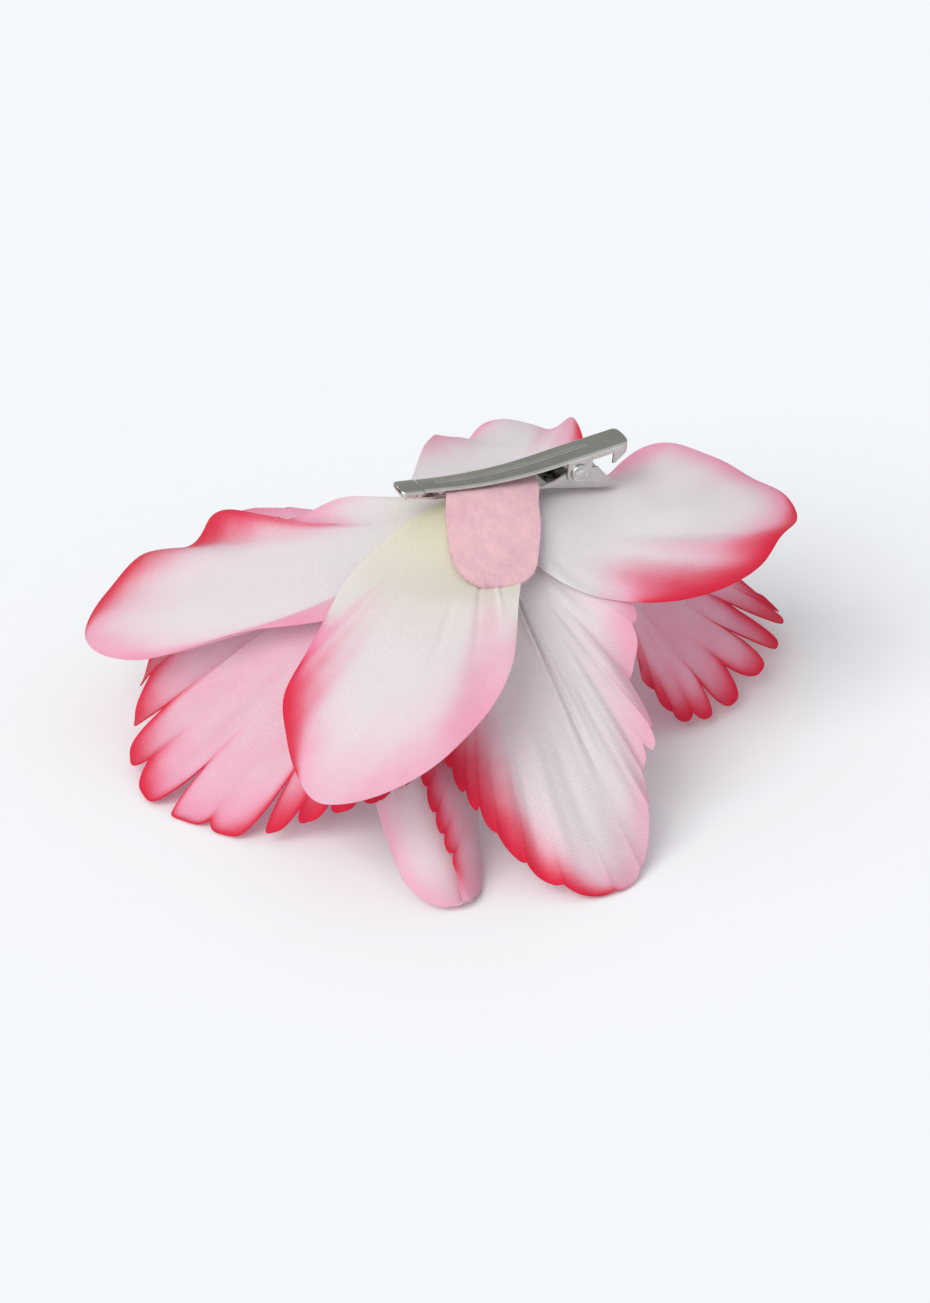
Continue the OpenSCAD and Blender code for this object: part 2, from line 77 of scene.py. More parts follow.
def through(values: tuple[float, ...], t: Array) -> Array:
    """Smooth curve through values at equal steps.

    A Catmull-Rom cubic: between two values, the slope at each is half the difference of its neighbours.

    Args:
        values: The values, at equal steps from t = 0 to t = 1.
        t: Where the curve is read.

    Returns:
        The curve's value at each t.
    """
    v = np.asarray(values, float)
    v = np.concatenate([[2 * v[0] - v[1]], v, [2 * v[-1] - v[-2]]])
    x = np.clip(t, 0.0, 1.0) * (len(v) - 3)
    i = np.minimum(x.astype(int), len(v) - 4)
    f = x - i
    a, b, c, d = v[i], v[i + 1], v[i + 2], v[i + 3]
    return 0.5 * (2 * b + (c - a) * f + (2 * a - 5 * b + 4 * c - d) * f**2 + (3 * b - a - 3 * c + d) * f**3)


def bump(t: Array, at: float, width: float) -> Array:
    """Bell curve exp(-x^2), with x the distance from its middle in widths."""
    return np.exp(-(((t - at) / width) ** 2))


def grid_normals(points: Array) -> Array:
    """Unit normals of a grid of points: the cross product of its steps along the rows and the columns."""
    return unit(np.cross(np.gradient(points, axis=0), np.gradient(points, axis=1)))


@dataclass(frozen=True)
class Form:
    """Middle surface of a petal, in millimetres from the flower's middle.

    Attributes:
        layer: How many petals lie over this one at the flower's middle.
        spine: The four points of a cubic Bezier, from the middle outwards.
        left: Half widths to the left of the spine, at equal steps along it.
        right: Half widths to its right.
        roll: Turn of the cloth about the spine in degrees, at its base, middle and tip.
        cup: How far the cloth bends down from the spine to its edge in degrees, at the same places.
        tip: Power of the outline's round end: the higher, the squarer.
        layer_pitch: Distance between two layers at the middle.
        dome: Fall of the flower's back by the square of the distance to the side, ahead and behind.
        dome_reach: Distances from the middle between which the dome gives way to the petal's own shape.
        flap: Widths of a flap at equal steps along the spine. It is folded back over the left side.
        flap_rise: Slope at which the flap rises from the cloth under it.
        flap_radius: Radius of its fold.
    """

    layer: int
    spine: tuple[tuple[float, float, float], ...]
    left: tuple[float, ...]
    right: tuple[float, ...]
    roll: tuple[float, ...]
    cup: tuple[float, ...]
    tip: float = 8.0
    layer_pitch: float = 0.8
    dome: tuple[float, float, float] = (0.008, 0.020, 0.006)
    dome_reach: tuple[float, float] = (9.0, 32.0)
    flap: tuple[float, ...] = (0.0, 0.0)
    flap_rise: float = 0.12
    flap_radius: float = 0.45

    def bezier(self, u: Array) -> tuple[Array, Array]:
        """The spine's points and directions, by the cubic Bezier formula and its derivative."""
        p = np.asarray(self.spine, float)
        u = u[..., None]
        w = 1 - u
        place = w**3 * p[0] + 3 * u * w**2 * p[1] + 3 * u * u * w * p[2] + u**3 * p[3]
        way = w * w * (p[1] - p[0]) + 2 * u * w * (p[2] - p[1]) + u * u * (p[3] - p[2])
        return place, unit(way)

    def table(self) -> tuple[Array, Array]:
        """Spine parameter and the arc length up to it, past the tip too."""
        u = np.linspace(0.0, 1.15, 300)
        place, _ = self.bezier(u)
        step = np.linalg.norm(np.diff(place, axis=0), axis=1)
        return u, np.concatenate([[0.0], np.cumsum(step)])

    def outline(self, t: Array) -> Array:
        """The plain cut edge, flat: from the left of the base, round the tip, to the right of the base.

        The half width closes at the tip as the square root of 1 - u^tip, and t is the share of the way round.

        Args:
            t: Share of the way round, from 0 to 1.

        Returns:
            Points (along, side) in the flat cloth, in millimetres.
        """
        u = 1.0 - (1.0 - np.linspace(0.0, 1.0, 400)) ** 2
        table_u, table_s = self.table()
        close = np.sqrt(np.clip(1.0 - u**self.tip, 0.0, 1.0))
        along = np.interp(u, table_u, table_s)
        one = np.stack([along, (through(self.left, u) + through(self.flap, u)) * close], axis=1)
        other = np.stack([along, -through(self.right, u) * close], axis=1)[::-1]
        edge = np.concatenate([one, other[1:]])
        way = np.concatenate([[0.0], np.cumsum(np.linalg.norm(np.diff(edge, axis=0), axis=1))])
        way /= way[-1]
        return np.stack([np.interp(t, way, edge[:, k]) for k in range(2)], axis=-1)

    def at(self, along: Array, side: Array) -> Array:
        """The cloth's points in space.

        Across the spine the cloth is an arc of the cup's curvature, turned by the roll. Past the fold line it
        turns back round a small radius and lies over the arc, rising from it slowly. Its height is mixed with
        the dome's by the distance from the middle.

        Args:
            along: Distance along the spine in the flat cloth, in millimetres.
            side: Distance to the left of the spine, in millimetres.

        Returns:
            Points in millimetres from the flower's middle.
        """
        table_u, table_s = self.table()
        u = np.interp(along, table_s, table_u)
        place, way = self.bezier(u)
        level = unit(np.cross([0.0, 0.0, 1.0], way))
        rise = np.cross(way, level)
        roll = np.radians(through(self.roll, u))[..., None]
        left = level * np.cos(roll) + rise * np.sin(roll)
        up = rise * np.cos(roll) - level * np.sin(roll)
        half = np.abs(through(self.left, u) + through(self.right, u)) / 2
        bend = np.radians(through(self.cup, u)) / half
        bend = np.where(np.abs(bend) < 1e-5, 1e-5, bend)
        close = np.sqrt(np.clip(1.0 - np.minimum(u, 1.0) ** self.tip, 0.0, 1.0))
        fold = through(self.left, u) * close
        past = np.where(through(self.flap, u) > 0.05, np.maximum(side - fold, 0.0), 0.0)
        turned = np.minimum(past / self.flap_radius, math.pi)
        rest = past - turned * self.flap_radius
        over = bend * (side - past + self.flap_radius * np.sin(turned) - rest)
        lift = (self.flap_radius * (1 - np.cos(turned)) + rest * self.flap_rise)[..., None]
        reach = (np.sin(over) / bend)[..., None]
        sag = ((1 - np.cos(over)) / bend)[..., None]
        over = over[..., None]
        p = place + left * (reach + np.sin(over) * lift) - up * (sag - np.cos(over) * lift)
        x, y = p[..., 0], p[..., 1]
        own = smooth((np.hypot(x, y) - self.dome_reach[0]) / (self.dome_reach[1] - self.dome_reach[0]))
        fall = self.dome[0] * x * x + np.where(y < 0, self.dome[1], self.dome[2]) * y * y
        p[..., 2] = (FULL_HEIGHT - self.layer * self.layer_pitch - fall) * (1 - own) + p[..., 2] * own
        return p


@dataclass(frozen=True)
class Edge:
    """How a petal's edge departs from its plain outline, by the share of the way round it.

    Attributes:
        out: Outward moves of the edge in millimetres, at equal steps round.
        up: Ruffle heights in millimetres, at equal steps round.
        cuts: Fringe cuts as (place, depth in millimetres). Between two cuts the cloth is a rounded lobe.
        curl: Height in millimetres by which a lobe's middle curls up or down.
        blunt: Power of the lobe's outline: the higher, the squarer the lobe.
        ruffle_from: Share of the way out at which ruffles start.
    """

    out: tuple[float, ...] = (0.0, 0.0)
    up: tuple[float, ...] = (0.0, 0.0)
    cuts: tuple[tuple[float, float], ...] = ()
    curl: float = 0.0
    blunt: float = 5.0
    ruffle_from: float = 0.45

    def lobes(self, t: Array) -> tuple[Array, Array]:
        """Depth of the fringe at t, and the place within its lobe from -1 to 1.

        Depth is the neighbouring cuts' depth, mixed, times |place|^blunt.
        """
        if not self.cuts:
            return np.zeros_like(t), np.ones_like(t)
        at, depth = (np.array(c, float) for c in zip(*self.cuts))
        i = np.clip(np.searchsorted(at, t) - 1, 0, len(at) - 2)
        x = np.clip((t - at[i]) / (at[i + 1] - at[i]), 0.0, 1.0)
        place = 2 * x - 1
        cut = (depth[i] * (1 - x) + depth[i + 1] * x) * np.abs(place) ** self.blunt
        outside = (t < at[0]) | (t > at[-1])
        return np.where(outside, 0.0, cut), np.where(outside, 1.0, place)

    def stations(self, count: int) -> Array:
        """Places round the edge, closer together at the cuts: equal steps of a summed density."""
        t = np.linspace(0.0, 1.0, 4000)
        density = np.full_like(t, 1.0)
        for place, depth in self.cuts:
            density += (3.0 if depth else 0.0) * bump(t, place, 0.008)
        total = np.concatenate([[0.0], np.cumsum((density[1:] + density[:-1]) / 2)])
        return np.interp(np.linspace(0.0, 1.0, count), total / total[-1], t)


@dataclass(frozen=True)
class Crease:
    """A fold that runs out from the petal's base: a bell-shaped trough or ridge across the vein's way.

    Attributes:
        at: Place round the edge that it points to.
        width: Its half width, as a share of the way round.
        height: Its height in millimetres, below zero for a trough.
        start: Share of the way out where it begins.
        stop: Share of the way out where it ends.
    """

    at: float
    width: float
    height: float
    start: float = 0.1
    stop: float = 0.9

    def rise(self, t: Array, rho: Array) -> Array:
        """Height at t round the edge and rho of the way out: bell across, smooth steps at both ends."""
        span = self.stop - self.start
        ends = smooth((rho - self.start) / (0.3 * span)) * smooth((self.stop - rho) / (0.4 * span))
        return self.height * bump(t, self.at, self.width) * ends


# ---- Meshes and materials ----


def make_piece(
    name: str,
    points: Array,
    loops: Array,
    starts: Array,
    body: str,
    node: str = "",
    uv: Array | None = None,
    marks: dict[str, Array] | None = None,
) -> bpy.types.Object:
    """Puts arrays into a new mesh object and rides it on a body.

    Args:
        name: The piece's name.
        points: Vertices in metres, one row each.
        loops: Vertex numbers of every face, one after another.
        starts: Where each face starts in loops.
        body: The CAD body that the piece moves with.
        node: The CAD node that it stands for, if any.
        uv: Flat cloth coordinates of each vertex in metres, where the piece has them.
        marks: Named values of each vertex that the materials read.

    Returns:
        The new object, with smooth faces.
    """
    mesh = bpy.data.meshes.new(name)
    mesh.vertices.add(len(points))
    mesh.vertices.foreach_set("co", np.ascontiguousarray(points, np.float32).ravel())
    mesh.loops.add(len(loops))
    mesh.loops.foreach_set("vertex_index", np.ascontiguousarray(loops, np.int32))
    mesh.polygons.add(len(starts))
    mesh.polygons.foreach_set("loop_start", np.ascontiguousarray(starts, np.int32))
    mesh.polygons.foreach_set("use_smooth", np.ones(len(starts), bool))
    if uv is not None:
        layer = mesh.uv_layers.new(name="cloth")
        layer.data.foreach_set("uv", np.ascontiguousarray(uv[loops], np.float32).ravel())
    for key, values in (marks or {}).items():
        mark = mesh.attributes.new(key, "FLOAT", "POINT")
        mark.data.foreach_set("value", np.ascontiguousarray(values, np.float32).ravel())
    mesh.update(calc_edges=True)
    mesh.validate()
    piece = bpy.data.objects.new(name, mesh)
    bpy.context.scene.collection.objects.link(piece)
    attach(piece, body)
    if node:
        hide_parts(node)
    return piece


def quads(rows: int, cols: int, first: int = 0, closed: bool = False) -> Array:
    """Vertex numbers of a grid's faces: a, a + 1, a + cols + 1, a + cols, with a round join if closed."""
    i, j = np.meshgrid(np.arange(rows - 1), np.arange(cols if closed else cols - 1), indexing="ij")
    k = (j + 1) % cols
    a = [i * cols + j, i * cols + k, (i + 1) * cols + k, (i + 1) * cols + j]
    return first + np.stack(a, axis=-1).reshape(-1, 4)


def four(faces: Array) -> tuple[Array, Array]:
    """The loops and starts of faces with four corners."""
    return faces.ravel(), np.arange(0, faces.size, 4)


def add_modifier(piece: bpy.types.Object, kind: str, **settings: object) -> None:
    """Adds a modifier and sets its values."""
    modifier = piece.modifiers.new(kind.lower(), kind)
    for key, value in settings.items():
        setattr(modifier, key, value)


def soften(piece: bpy.types.Object, width: float, segments: int, angle: float) -> None:
    """Rounds off the edges that are sharper than an angle in radians, by a width in millimetres."""
    add_modifier(piece, "BEVEL", width=width * MM, segments=segments, limit_method="ANGLE", angle_limit=angle)


class Shader:
    """A material's node tree, with short calls that add nodes and join them.

    Attributes:
        material: The material itself.
    """

    def __init__(self, name: str) -> None:
        """Starts an empty tree with its output node."""
        self.material = bpy.data.materials.new(name)
        self.material.use_nodes = True
        self.tree = self.material.node_tree
        self.tree.nodes.clear()
        self.end = self.tree.nodes.new("ShaderNodeOutputMaterial")

    def add(self, kind: str, sockets: dict | None = None, **settings: object) -> bpy.types.Node:
        """Adds a node.

        Args:
            kind: The node's type, without its ShaderNode prefix.
            sockets: Input name or number to a value, or to the output socket that feeds it.
            settings: The node's own settings.

        Returns:
            The node.
        """
        node = self.tree.nodes.new("ShaderNode" + kind)
        for key, value in settings.items():
            setattr(node, key, value)
        for key, value in (sockets or {}).items():
            if isinstance(value, bpy.types.NodeSocket):
                self.tree.links.new(value, node.inputs[key])
            else:
                node.inputs[key].default_value = value
        return node

    def math(self, how: str, a: object, b: object = 0.0, clamp: bool = False) -> bpy.types.NodeSocket:
        """A sum, product or other rule of two values."""
        return self.add("Math", {0: a, 1: b}, operation=how, use_clamp=clamp).outputs[0]

    def total(self, *parts: tuple[object, float]) -> bpy.types.NodeSocket:
        """The sum of values, each times its own weight."""
        sums = [self.math("MULTIPLY", value, weight) for value, weight in parts]
        whole = sums[0]
        for part in sums[1:]:
            whole = self.math("ADD", whole, part)
        return whole

    def mark(self, name: str) -> bpy.types.NodeSocket:
        """A value that the mesh carries at each vertex."""
        return self.add("Attribute", attribute_name=name).outputs["Fac"]

    def blend(self, share: object, a: object, b: object, how: str = "MIX") -> bpy.types.NodeSocket:
        """A mix of two colours."""
        node = self.add("Mix", {"Factor": share, 6: a, 7: b}, data_type="RGBA", blend_type=how)
        return node.outputs[2]

    def noise(self, place: object, scale: float, detail: float = 2.0) -> bpy.types.NodeSocket:
        """Soft noise between 0 and 1, of a scale in features per metre."""
        return self.add("TexNoise", {"Vector": place, "Scale": scale, "Detail": detail}).outputs["Fac"]

    def stretched(self, place: object, scale: tuple[float, float, float], turn: float = 0.0) -> object:
        """A place turned about its normal and scaled, for patterns that run one way."""
        sockets = {"Vector": place, "Rotation": (0.0, 0.0, turn), "Scale": scale}
        return self.add("Mapping", sockets).outputs["Vector"]

    def waves(self, along: object, pitch: float) -> bpy.types.NodeSocket:
        """A sine from 0 to 1 that repeats every pitch metres."""
        turn = self.math("MULTIPLY", along, 2 * math.pi / pitch)
        return self.math("MULTIPLY_ADD", self.math("SINE", turn), 0.5)

    def bump(self, height: object, depth: float, strength: float = 1.0) -> bpy.types.NodeSocket:
        """Surface normal of a height from 0 to 1 that is depth metres deep."""
        sockets = {"Height": height, "Distance": depth, "Strength": strength}
        return self.add("Bump", sockets).outputs["Normal"]

    def finish(self, shader: bpy.types.NodeSocket) -> bpy.types.Material:
        """Joins the last shader to the output."""
        self.tree.links.new(shader, self.end.inputs["Surface"])
        return self.material


def dress(piece: bpy.types.Object, material: bpy.types.Material) -> None:
    """Gives a piece one material, in all of its slots."""
    if not piece.material_slots:
        piece.data.materials.append(material)
    for place in piece.material_slots:
        place.material = material


def dress_node(
    node: str, material: bpy.types.Material, round_off: float, segments: int, angle: float
) -> bpy.types.Object:
    """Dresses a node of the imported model, and rounds off its sharp edges.

    Args:
        node: The node's name.
        material: Its material.
        round_off: Width of the rounding in millimetres.
        segments: Steps across the rounding.
        angle: Least angle of an edge that is rounded, in radians.

    Returns:
        The node's object.
    """
    piece = frame["nodes"][node]
    dress(piece, material)
    add_modifier(piece, "WELD", merge_threshold=2e-6)
    soften(piece, round_off, segments, angle)
    return piece


# ---- Petals ----


@dataclass(frozen=True)
class Pigment:
    """Where a petal's dye lies. Reaches are in millimetres from the edge, at equal steps round it.

    Attributes:
        pink: Reach of the pink.
        red: Reach of the red.
        strength: How strong the pink is at the edge, from 0 to 1, at equal steps round.
        body: How pink the middle is, from 0 to 1.
        heart: How yellow-green the base is, from 0 to 1.
        heart_reach: How far from the flower's middle that yellow-green goes, in millimetres.
        clear: Distance from the flower's middle within which the edges aren't dyed, in millimetres.
    """

    pink: tuple[float, ...]
    red: tuple[float, ...]
    strength: tuple[float, ...] = (0.8, 0.8)
    body: float = 0.0
    heart: float = 0.0
    heart_reach: float = 22.0
    clear: float = 20.0

    def marks(self, t: Array, from_edge: Array, from_middle: Array) -> dict[str, Array]:
        """Amount of each dye, from 0 to 1: exp(-(distance from the edge / reach)^power).

        Args:
            t: Share of the way round the edge.
            from_edge: Distance from the edge in millimetres.
            from_middle: Distance from the flower's middle in millimetres.

        Returns:
            The named amounts.
        """
        pink = np.maximum(through(self.pink, t), 0.05)
        red = np.maximum(through(self.red, t), 0.05)
        wave = 1.0 + 0.14 * np.sin(41 * t + 1.3) + 0.08 * np.sin(97 * t)
        strength = np.clip(through(self.strength, t), 0.0, 1.0)
        dyed = smooth((from_middle - self.clear) / 16)
        edge = strength * dyed * np.exp(-((from_edge / (pink * wave)) ** 1.5)) * smooth(pink / 0.8)
        return {
            "pink": self.body * (0.4 + 0.6 * dyed) + (1 - self.body) * edge,
            "red": dyed * np.exp(-((from_edge / (red * wave)) ** 1.8)) * smooth(red / 1.6),
            "heart": self.heart * np.exp(-((from_middle / self.heart_reach) ** 2.4)),
        }


class Ceiling:
    """Height map of the petals already laid, which the next petal lies under.

    Attributes:
        cell: Side of a square cell, in millimetres.
        gap: Least distance between two petals' middle surfaces, in millimetres.
        spread: Steps by which a lowered place spreads to its neighbours.
        low: Height of the lowest petal over each cell, or infinity where there is none.
    """

    def __init__(self, cell: float = 0.8, reach: float = 100.0, gap: float = 0.4, spread: int = 14) -> None:
        """Starts with nothing laid over a square that reaches this far each way from the middle."""
        self.cell, self.reach, self.gap, self.spread = cell, reach, gap, spread
        side = int(2 * reach / cell)
        self.low = np.full((side, side), np.inf)

    def cells(self, points: Array) -> tuple[Array, Array]:
        """Row and column of the cell under each point."""
        steps = ((points[..., :2] + self.reach) / self.cell).astype(int)
        steps = np.clip(steps, 0, len(self.low) - 1)
        return steps[..., 0], steps[..., 1]

    def lay(self, points: Array) -> None:
        """Adds a petal: each cell keeps the lower of its height and the petal's mean height in it."""
        i, j = self.cells(points.reshape(-1, 3))
        total, count = np.zeros_like(self.low), np.zeros_like(self.low)
        np.add.at(total, (i, j), points[..., 2].ravel())
        np.add.at(count, (i, j), 1.0)
        mean = np.where(count > 0, total / np.maximum(count, 1), np.inf)
        self.low = np.minimum(self.low, mean)

    def press(self, points: Array) -> Array:
        """Lowers a petal where it would come through the ones over it.

        It goes down by its excess over the map, which spreads to the neighbours as their mean, step by step.
        """
        i, j = self.cells(points)
        excess = np.maximum(points[..., 2] - (self.low[i, j] - self.gap), 0.0)
        for _ in range(self.spread):
            wide = np.pad(excess, 1, mode="edge")
            beside = wide[:-2, 1:-1] + wide[2:, 1:-1] + wide[1:-1, :-2] + wide[1:-1, 2:]
            excess = np.maximum(excess * 0.97, (beside + 2 * excess) / 6)
        lowered = points.copy()
        lowered[..., 2] -= excess
        return lowered


@dataclass
class Petal:
    """One cut petal of stiffened ribbed cloth.

    Attributes:
        node: The CAD node that it stands for.
        form: Its middle surface.
        edge: Its cut edge.
        pigment: Its dye.
        grain: Turn of the ribs against the spine, in degrees.
        creases: Its folds.
        slot: The record's material slot.
        weight: Thickness of the cloth, in millimetres.
        columns: Number of points round the edge.
        rows: Number of rings from the base to the edge.
        crowding: Power by which the rings crowd towards the edge.
        lobe_from: Share of the way out at which the fringe's lobes start to curl.
        uneven: Height of the cloth's slight waviness, in millimetres.
        least_slant: Least sine of the angle between a ray and the edge, for distances from the edge.
    """

    node: str
    form: Form
    edge: Edge
    pigment: Pigment
    grain: float
    creases: tuple[Crease, ...] = ()
    slot: str = "sepal_fabric"
    weight: float = 0.26
    columns: int = 400
    rows: int = 72
    crowding: float = 1.25
    lobe_from: float = 0.74
    uneven: float = 0.16
    least_slant: float = 0.3

    def flat_edge(self, t: Array) -> Array:
        """The cut edge in the flat cloth: the plain outline, moved away from the base by out less the cuts.

        Its angle as seen from the base always falls, at least by a little, so that no two rays cross.
        """
        plain = self.form.outline(t)
        cut, _ = self.edge.lobes(t)
        reach = np.linalg.norm(plain, axis=-1) + through(self.edge.out, t) - cut
        angle = np.minimum.accumulate(np.arctan2(plain[:, 1], plain[:, 0]) + 0.03 * t) - 0.03 * t
        return np.stack([np.cos(angle), np.sin(angle)], axis=-1) * reach[:, None]

    def surface(self, t: Array, rho: Array) -> tuple[Array, Array]:
        """The cloth in space: the middle surface, moved along its normal by ruffles, curls and folds.

        Args:
            t: Share of the way round, one for each column.
            rho: Share of the way out, one for each row.

        Returns:
            Points in millimetres from the flower's middle, and their flat places.
        """
        flat = rho[:, None, None] * self.flat_edge(t)[None]
        points = self.form.at(flat[..., 0], flat[..., 1])
        normals = grid_normals(points)
        if normals[len(rho) // 6, len(t) // 2, 2] < 0:
            normals = -normals
        t2, rho2 = np.meshgrid(t, rho)
        _, place = self.edge.lobes(t)
        ruffled = smooth((rho2 - self.edge.ruffle_from) / (1 - self.edge.ruffle_from))
        curled = smooth((rho2 - self.lobe_from) / (1 - self.lobe_from)) ** 1.5
        rise = through(self.edge.up, t)[None] * ruffled + self.edge.curl * (1 - place[None] ** 2) * curled
        for crease in self.creases:
            rise = rise + crease.rise(t2, rho2)
        x, y = flat[..., 0], flat[..., 1]
        waves = np.sin(0.21 * x + 0.9 * self.form.layer) * np.sin(0.17 * y + 1.7)
        waves = waves + 0.5 * np.sin(0.37 * x - 0.29 * y)
        rise = rise + self.uneven * waves * smooth((rho2 - 0.25) / 0.3)
        return points + normals * rise[..., None], flat

    def build(self, middle: Array, ceiling: Ceiling) -> bpy.types.Object:
        """Makes the cloth as one fan of faces round the base, and gives it its thickness.

        Args:
            middle: The flower's middle in metres.
            ceiling: The petals over this one.

        Returns:
            The new piece.
        """
        t = self.edge.stations(self.columns)
        rho = 1 - (1 - np.linspace(0.0, 1.0, self.rows + 1)[1:]) ** self.crowding
        points, flat = self.surface(t, rho)
        points = ceiling.press(points)
        points = self.over_floor(points, FULL_HEIGHT - middle[2] / MM + self.weight)
        ceiling.lay(points)
        reach = np.linalg.norm(flat[-1], axis=-1)
        plain = self.form.outline(t)
        slant = np.abs(np.cross(unit(plain), unit(np.gradient(plain, axis=0))))
        from_edge = (1 - rho)[:, None] * (reach * np.clip(slant, self.least_slant, 1.0))[None]
        from_middle = np.hypot(points[..., 0], points[..., 1])
        apex = self.form.at(np.zeros(1), np.zeros(1))
        amounts = self.pigment.marks(t[None], from_edge, from_middle)
        marks = {key: np.concatenate([value[:1, 0], value.ravel()]) for key, value in amounts.items()}
        turn = math.radians(self.grain)
        rows = np.concatenate([np.zeros((1, 2)), flat.reshape(-1, 2)]) * MM
        uv = np.stack(
            [rows[:, 0] * math.cos(turn) + rows[:, 1] * math.sin(turn),
             rows[:, 1] * math.cos(turn) - rows[:, 0] * math.sin(turn)], axis=1)
        cols = len(t)
        fan = np.stack([np.zeros(cols - 1, int), np.arange(1, cols), np.arange(2, cols + 1)], axis=1)
        grid = quads(len(rho), cols, first=1)
        place = np.concatenate([apex, points.reshape(-1, 3)])
        if np.cross(points[3, 5] - points[2, 5], points[2, 6] - points[2, 5])[2] < 0:
            fan, grid = fan[:, ::-1], grid[:, ::-1]
        loops = np.concatenate([fan.ravel(), grid.ravel()])
        starts = np.concatenate([np.arange(len(fan)) * 3, len(fan) * 3 + np.arange(len(grid)) * 4])
        piece = make_piece("cloth_" + self.node, middle + (place - [0, 0, FULL_HEIGHT]) * MM, loops, starts,
                           "flower", self.node, uv, marks)
        add_modifier(piece, "SOLIDIFY", thickness=self.weight * MM, offset=0.0, use_rim=True)
        self.declare()
        return piece

    def over_floor(self, points: Array, floor: float, soft: float = 0.5) -> Array:
        """Keeps the cloth over the floor: each height above it, h, becomes soft * log(1 + exp(h / soft))."""
        raised = points.copy()
        raised[..., 2] = floor + np.logaddexp(0.0, (points[..., 2] - floor) / soft) * soft
        return raised

    def declare(self) -> None:
        """Works out the petal's flat cut edge in metres, and does nothing more with it."""
        edge = self.flat_edge(self.edge.stations(self.columns)) * MM


@dataclass(frozen=True)
class RibbedCloth:
    """Stiffened ribbed cloth: white, dyed pink and red from its edges and yellow-green at its base.

    Attributes:
        rib_pitch: Distance between two ribs, in metres.
        thread_pitch: Distance between two threads across them, in metres.
        relief: Height of the ribs, in metres.
        bleed: How far the dyes' limits run along the threads, as a share of the dye.
        cloud: How far they wander in broad clouds.
        see_through: Share of the light that comes through the cloth.
    """

    white: tuple[float, float, float, float] = (0.90, 0.885, 0.90, 1.0)
    pink: tuple[float, float, float, float] = (0.955, 0.27, 0.50, 1.0)
    red: tuple[float, float, float, float] = (0.83, 0.022, 0.075, 1.0)
    heart: tuple[float, float, float, float] = (0.93, 0.91, 0.52, 1.0)
    rib_pitch: float = 0.00050
    thread_pitch: float = 0.00031
    relief: float = 0.00006
    bleed: float = 0.16
    cloud: float = 0.34
    see_through: float = 0.38

    def material(self, name: str) -> bpy.types.Material:
        """Dyes bleed along the threads; ribs and threads rise by sines of the cloth's own coordinates."""
        s = Shader(name)
        place = s.add("UVMap", uv_map="cloth").outputs["UV"]
        split = s.add("SeparateXYZ", {"Vector": place})
        along, across = split.outputs["X"], split.outputs["Y"]
        bleed = s.noise(s.stretched(place, (700.0, 1900.0, 1.0)), 1.0, 3.0)
        cloud = s.noise(place, 130.0, 2.0)
        sway = s.total((bleed, self.bleed), (cloud, self.cloud))
        sway = s.math("SUBTRACT", sway, (self.bleed + self.cloud) / 2)
        dyes = {}
        for key in ("pink", "red"):
            amount = s.mark(key)
            room = s.math("MULTIPLY", s.math("MULTIPLY", amount, s.math("SUBTRACT", 1.0, amount)), 4.0)
            dyes[key] = s.math("ADD", amount, s.math("MULTIPLY", room, sway), clamp=True)
        ribs = s.waves(across, self.rib_pitch)
        threads = s.waves(along, self.thread_pitch)
        colour = s.blend(s.mark("heart"), self.white, self.heart)
        colour = s.blend(dyes["pink"], colour, self.pink)
        colour = s.blend(dyes["red"], colour, self.red)
        speck = s.noise(place, 5200.0, 1.0)
        # Painted shade: the cloth is made a little darker in the grooves between its ribs, and the speck
        # noise adds a fine random tone.
        shade = s.total((ribs, 0.10), (speck, 0.10))
        tint = s.add("CombineColor", {0: s.math("ADD", shade, 0.90), 1: s.math("ADD", shade, 0.88),
                                      2: s.math("ADD", shade, 0.885)}).outputs[0]
        colour = s.blend(1.0, colour, tint, "MULTIPLY")
        normal = s.bump(s.total((ribs, 0.7), (threads, 0.3), (speck, 0.35)), self.relief, 0.55)
        cloth = s.add("BsdfPrincipled", {"Base Color": colour, "Roughness": 0.68, "Normal": normal,
                                         "Sheen Weight": 0.18, "Sheen Roughness": 0.5,
                                         "Specular IOR Level": 0.25})
        glow = s.add("BsdfTranslucent", {"Color": colour, "Normal": normal})
        both = s.add("MixShader", {0: self.see_through, 1: cloth.outputs[0], 2: glow.outputs[0]})
        return s.finish(both.outputs[0])


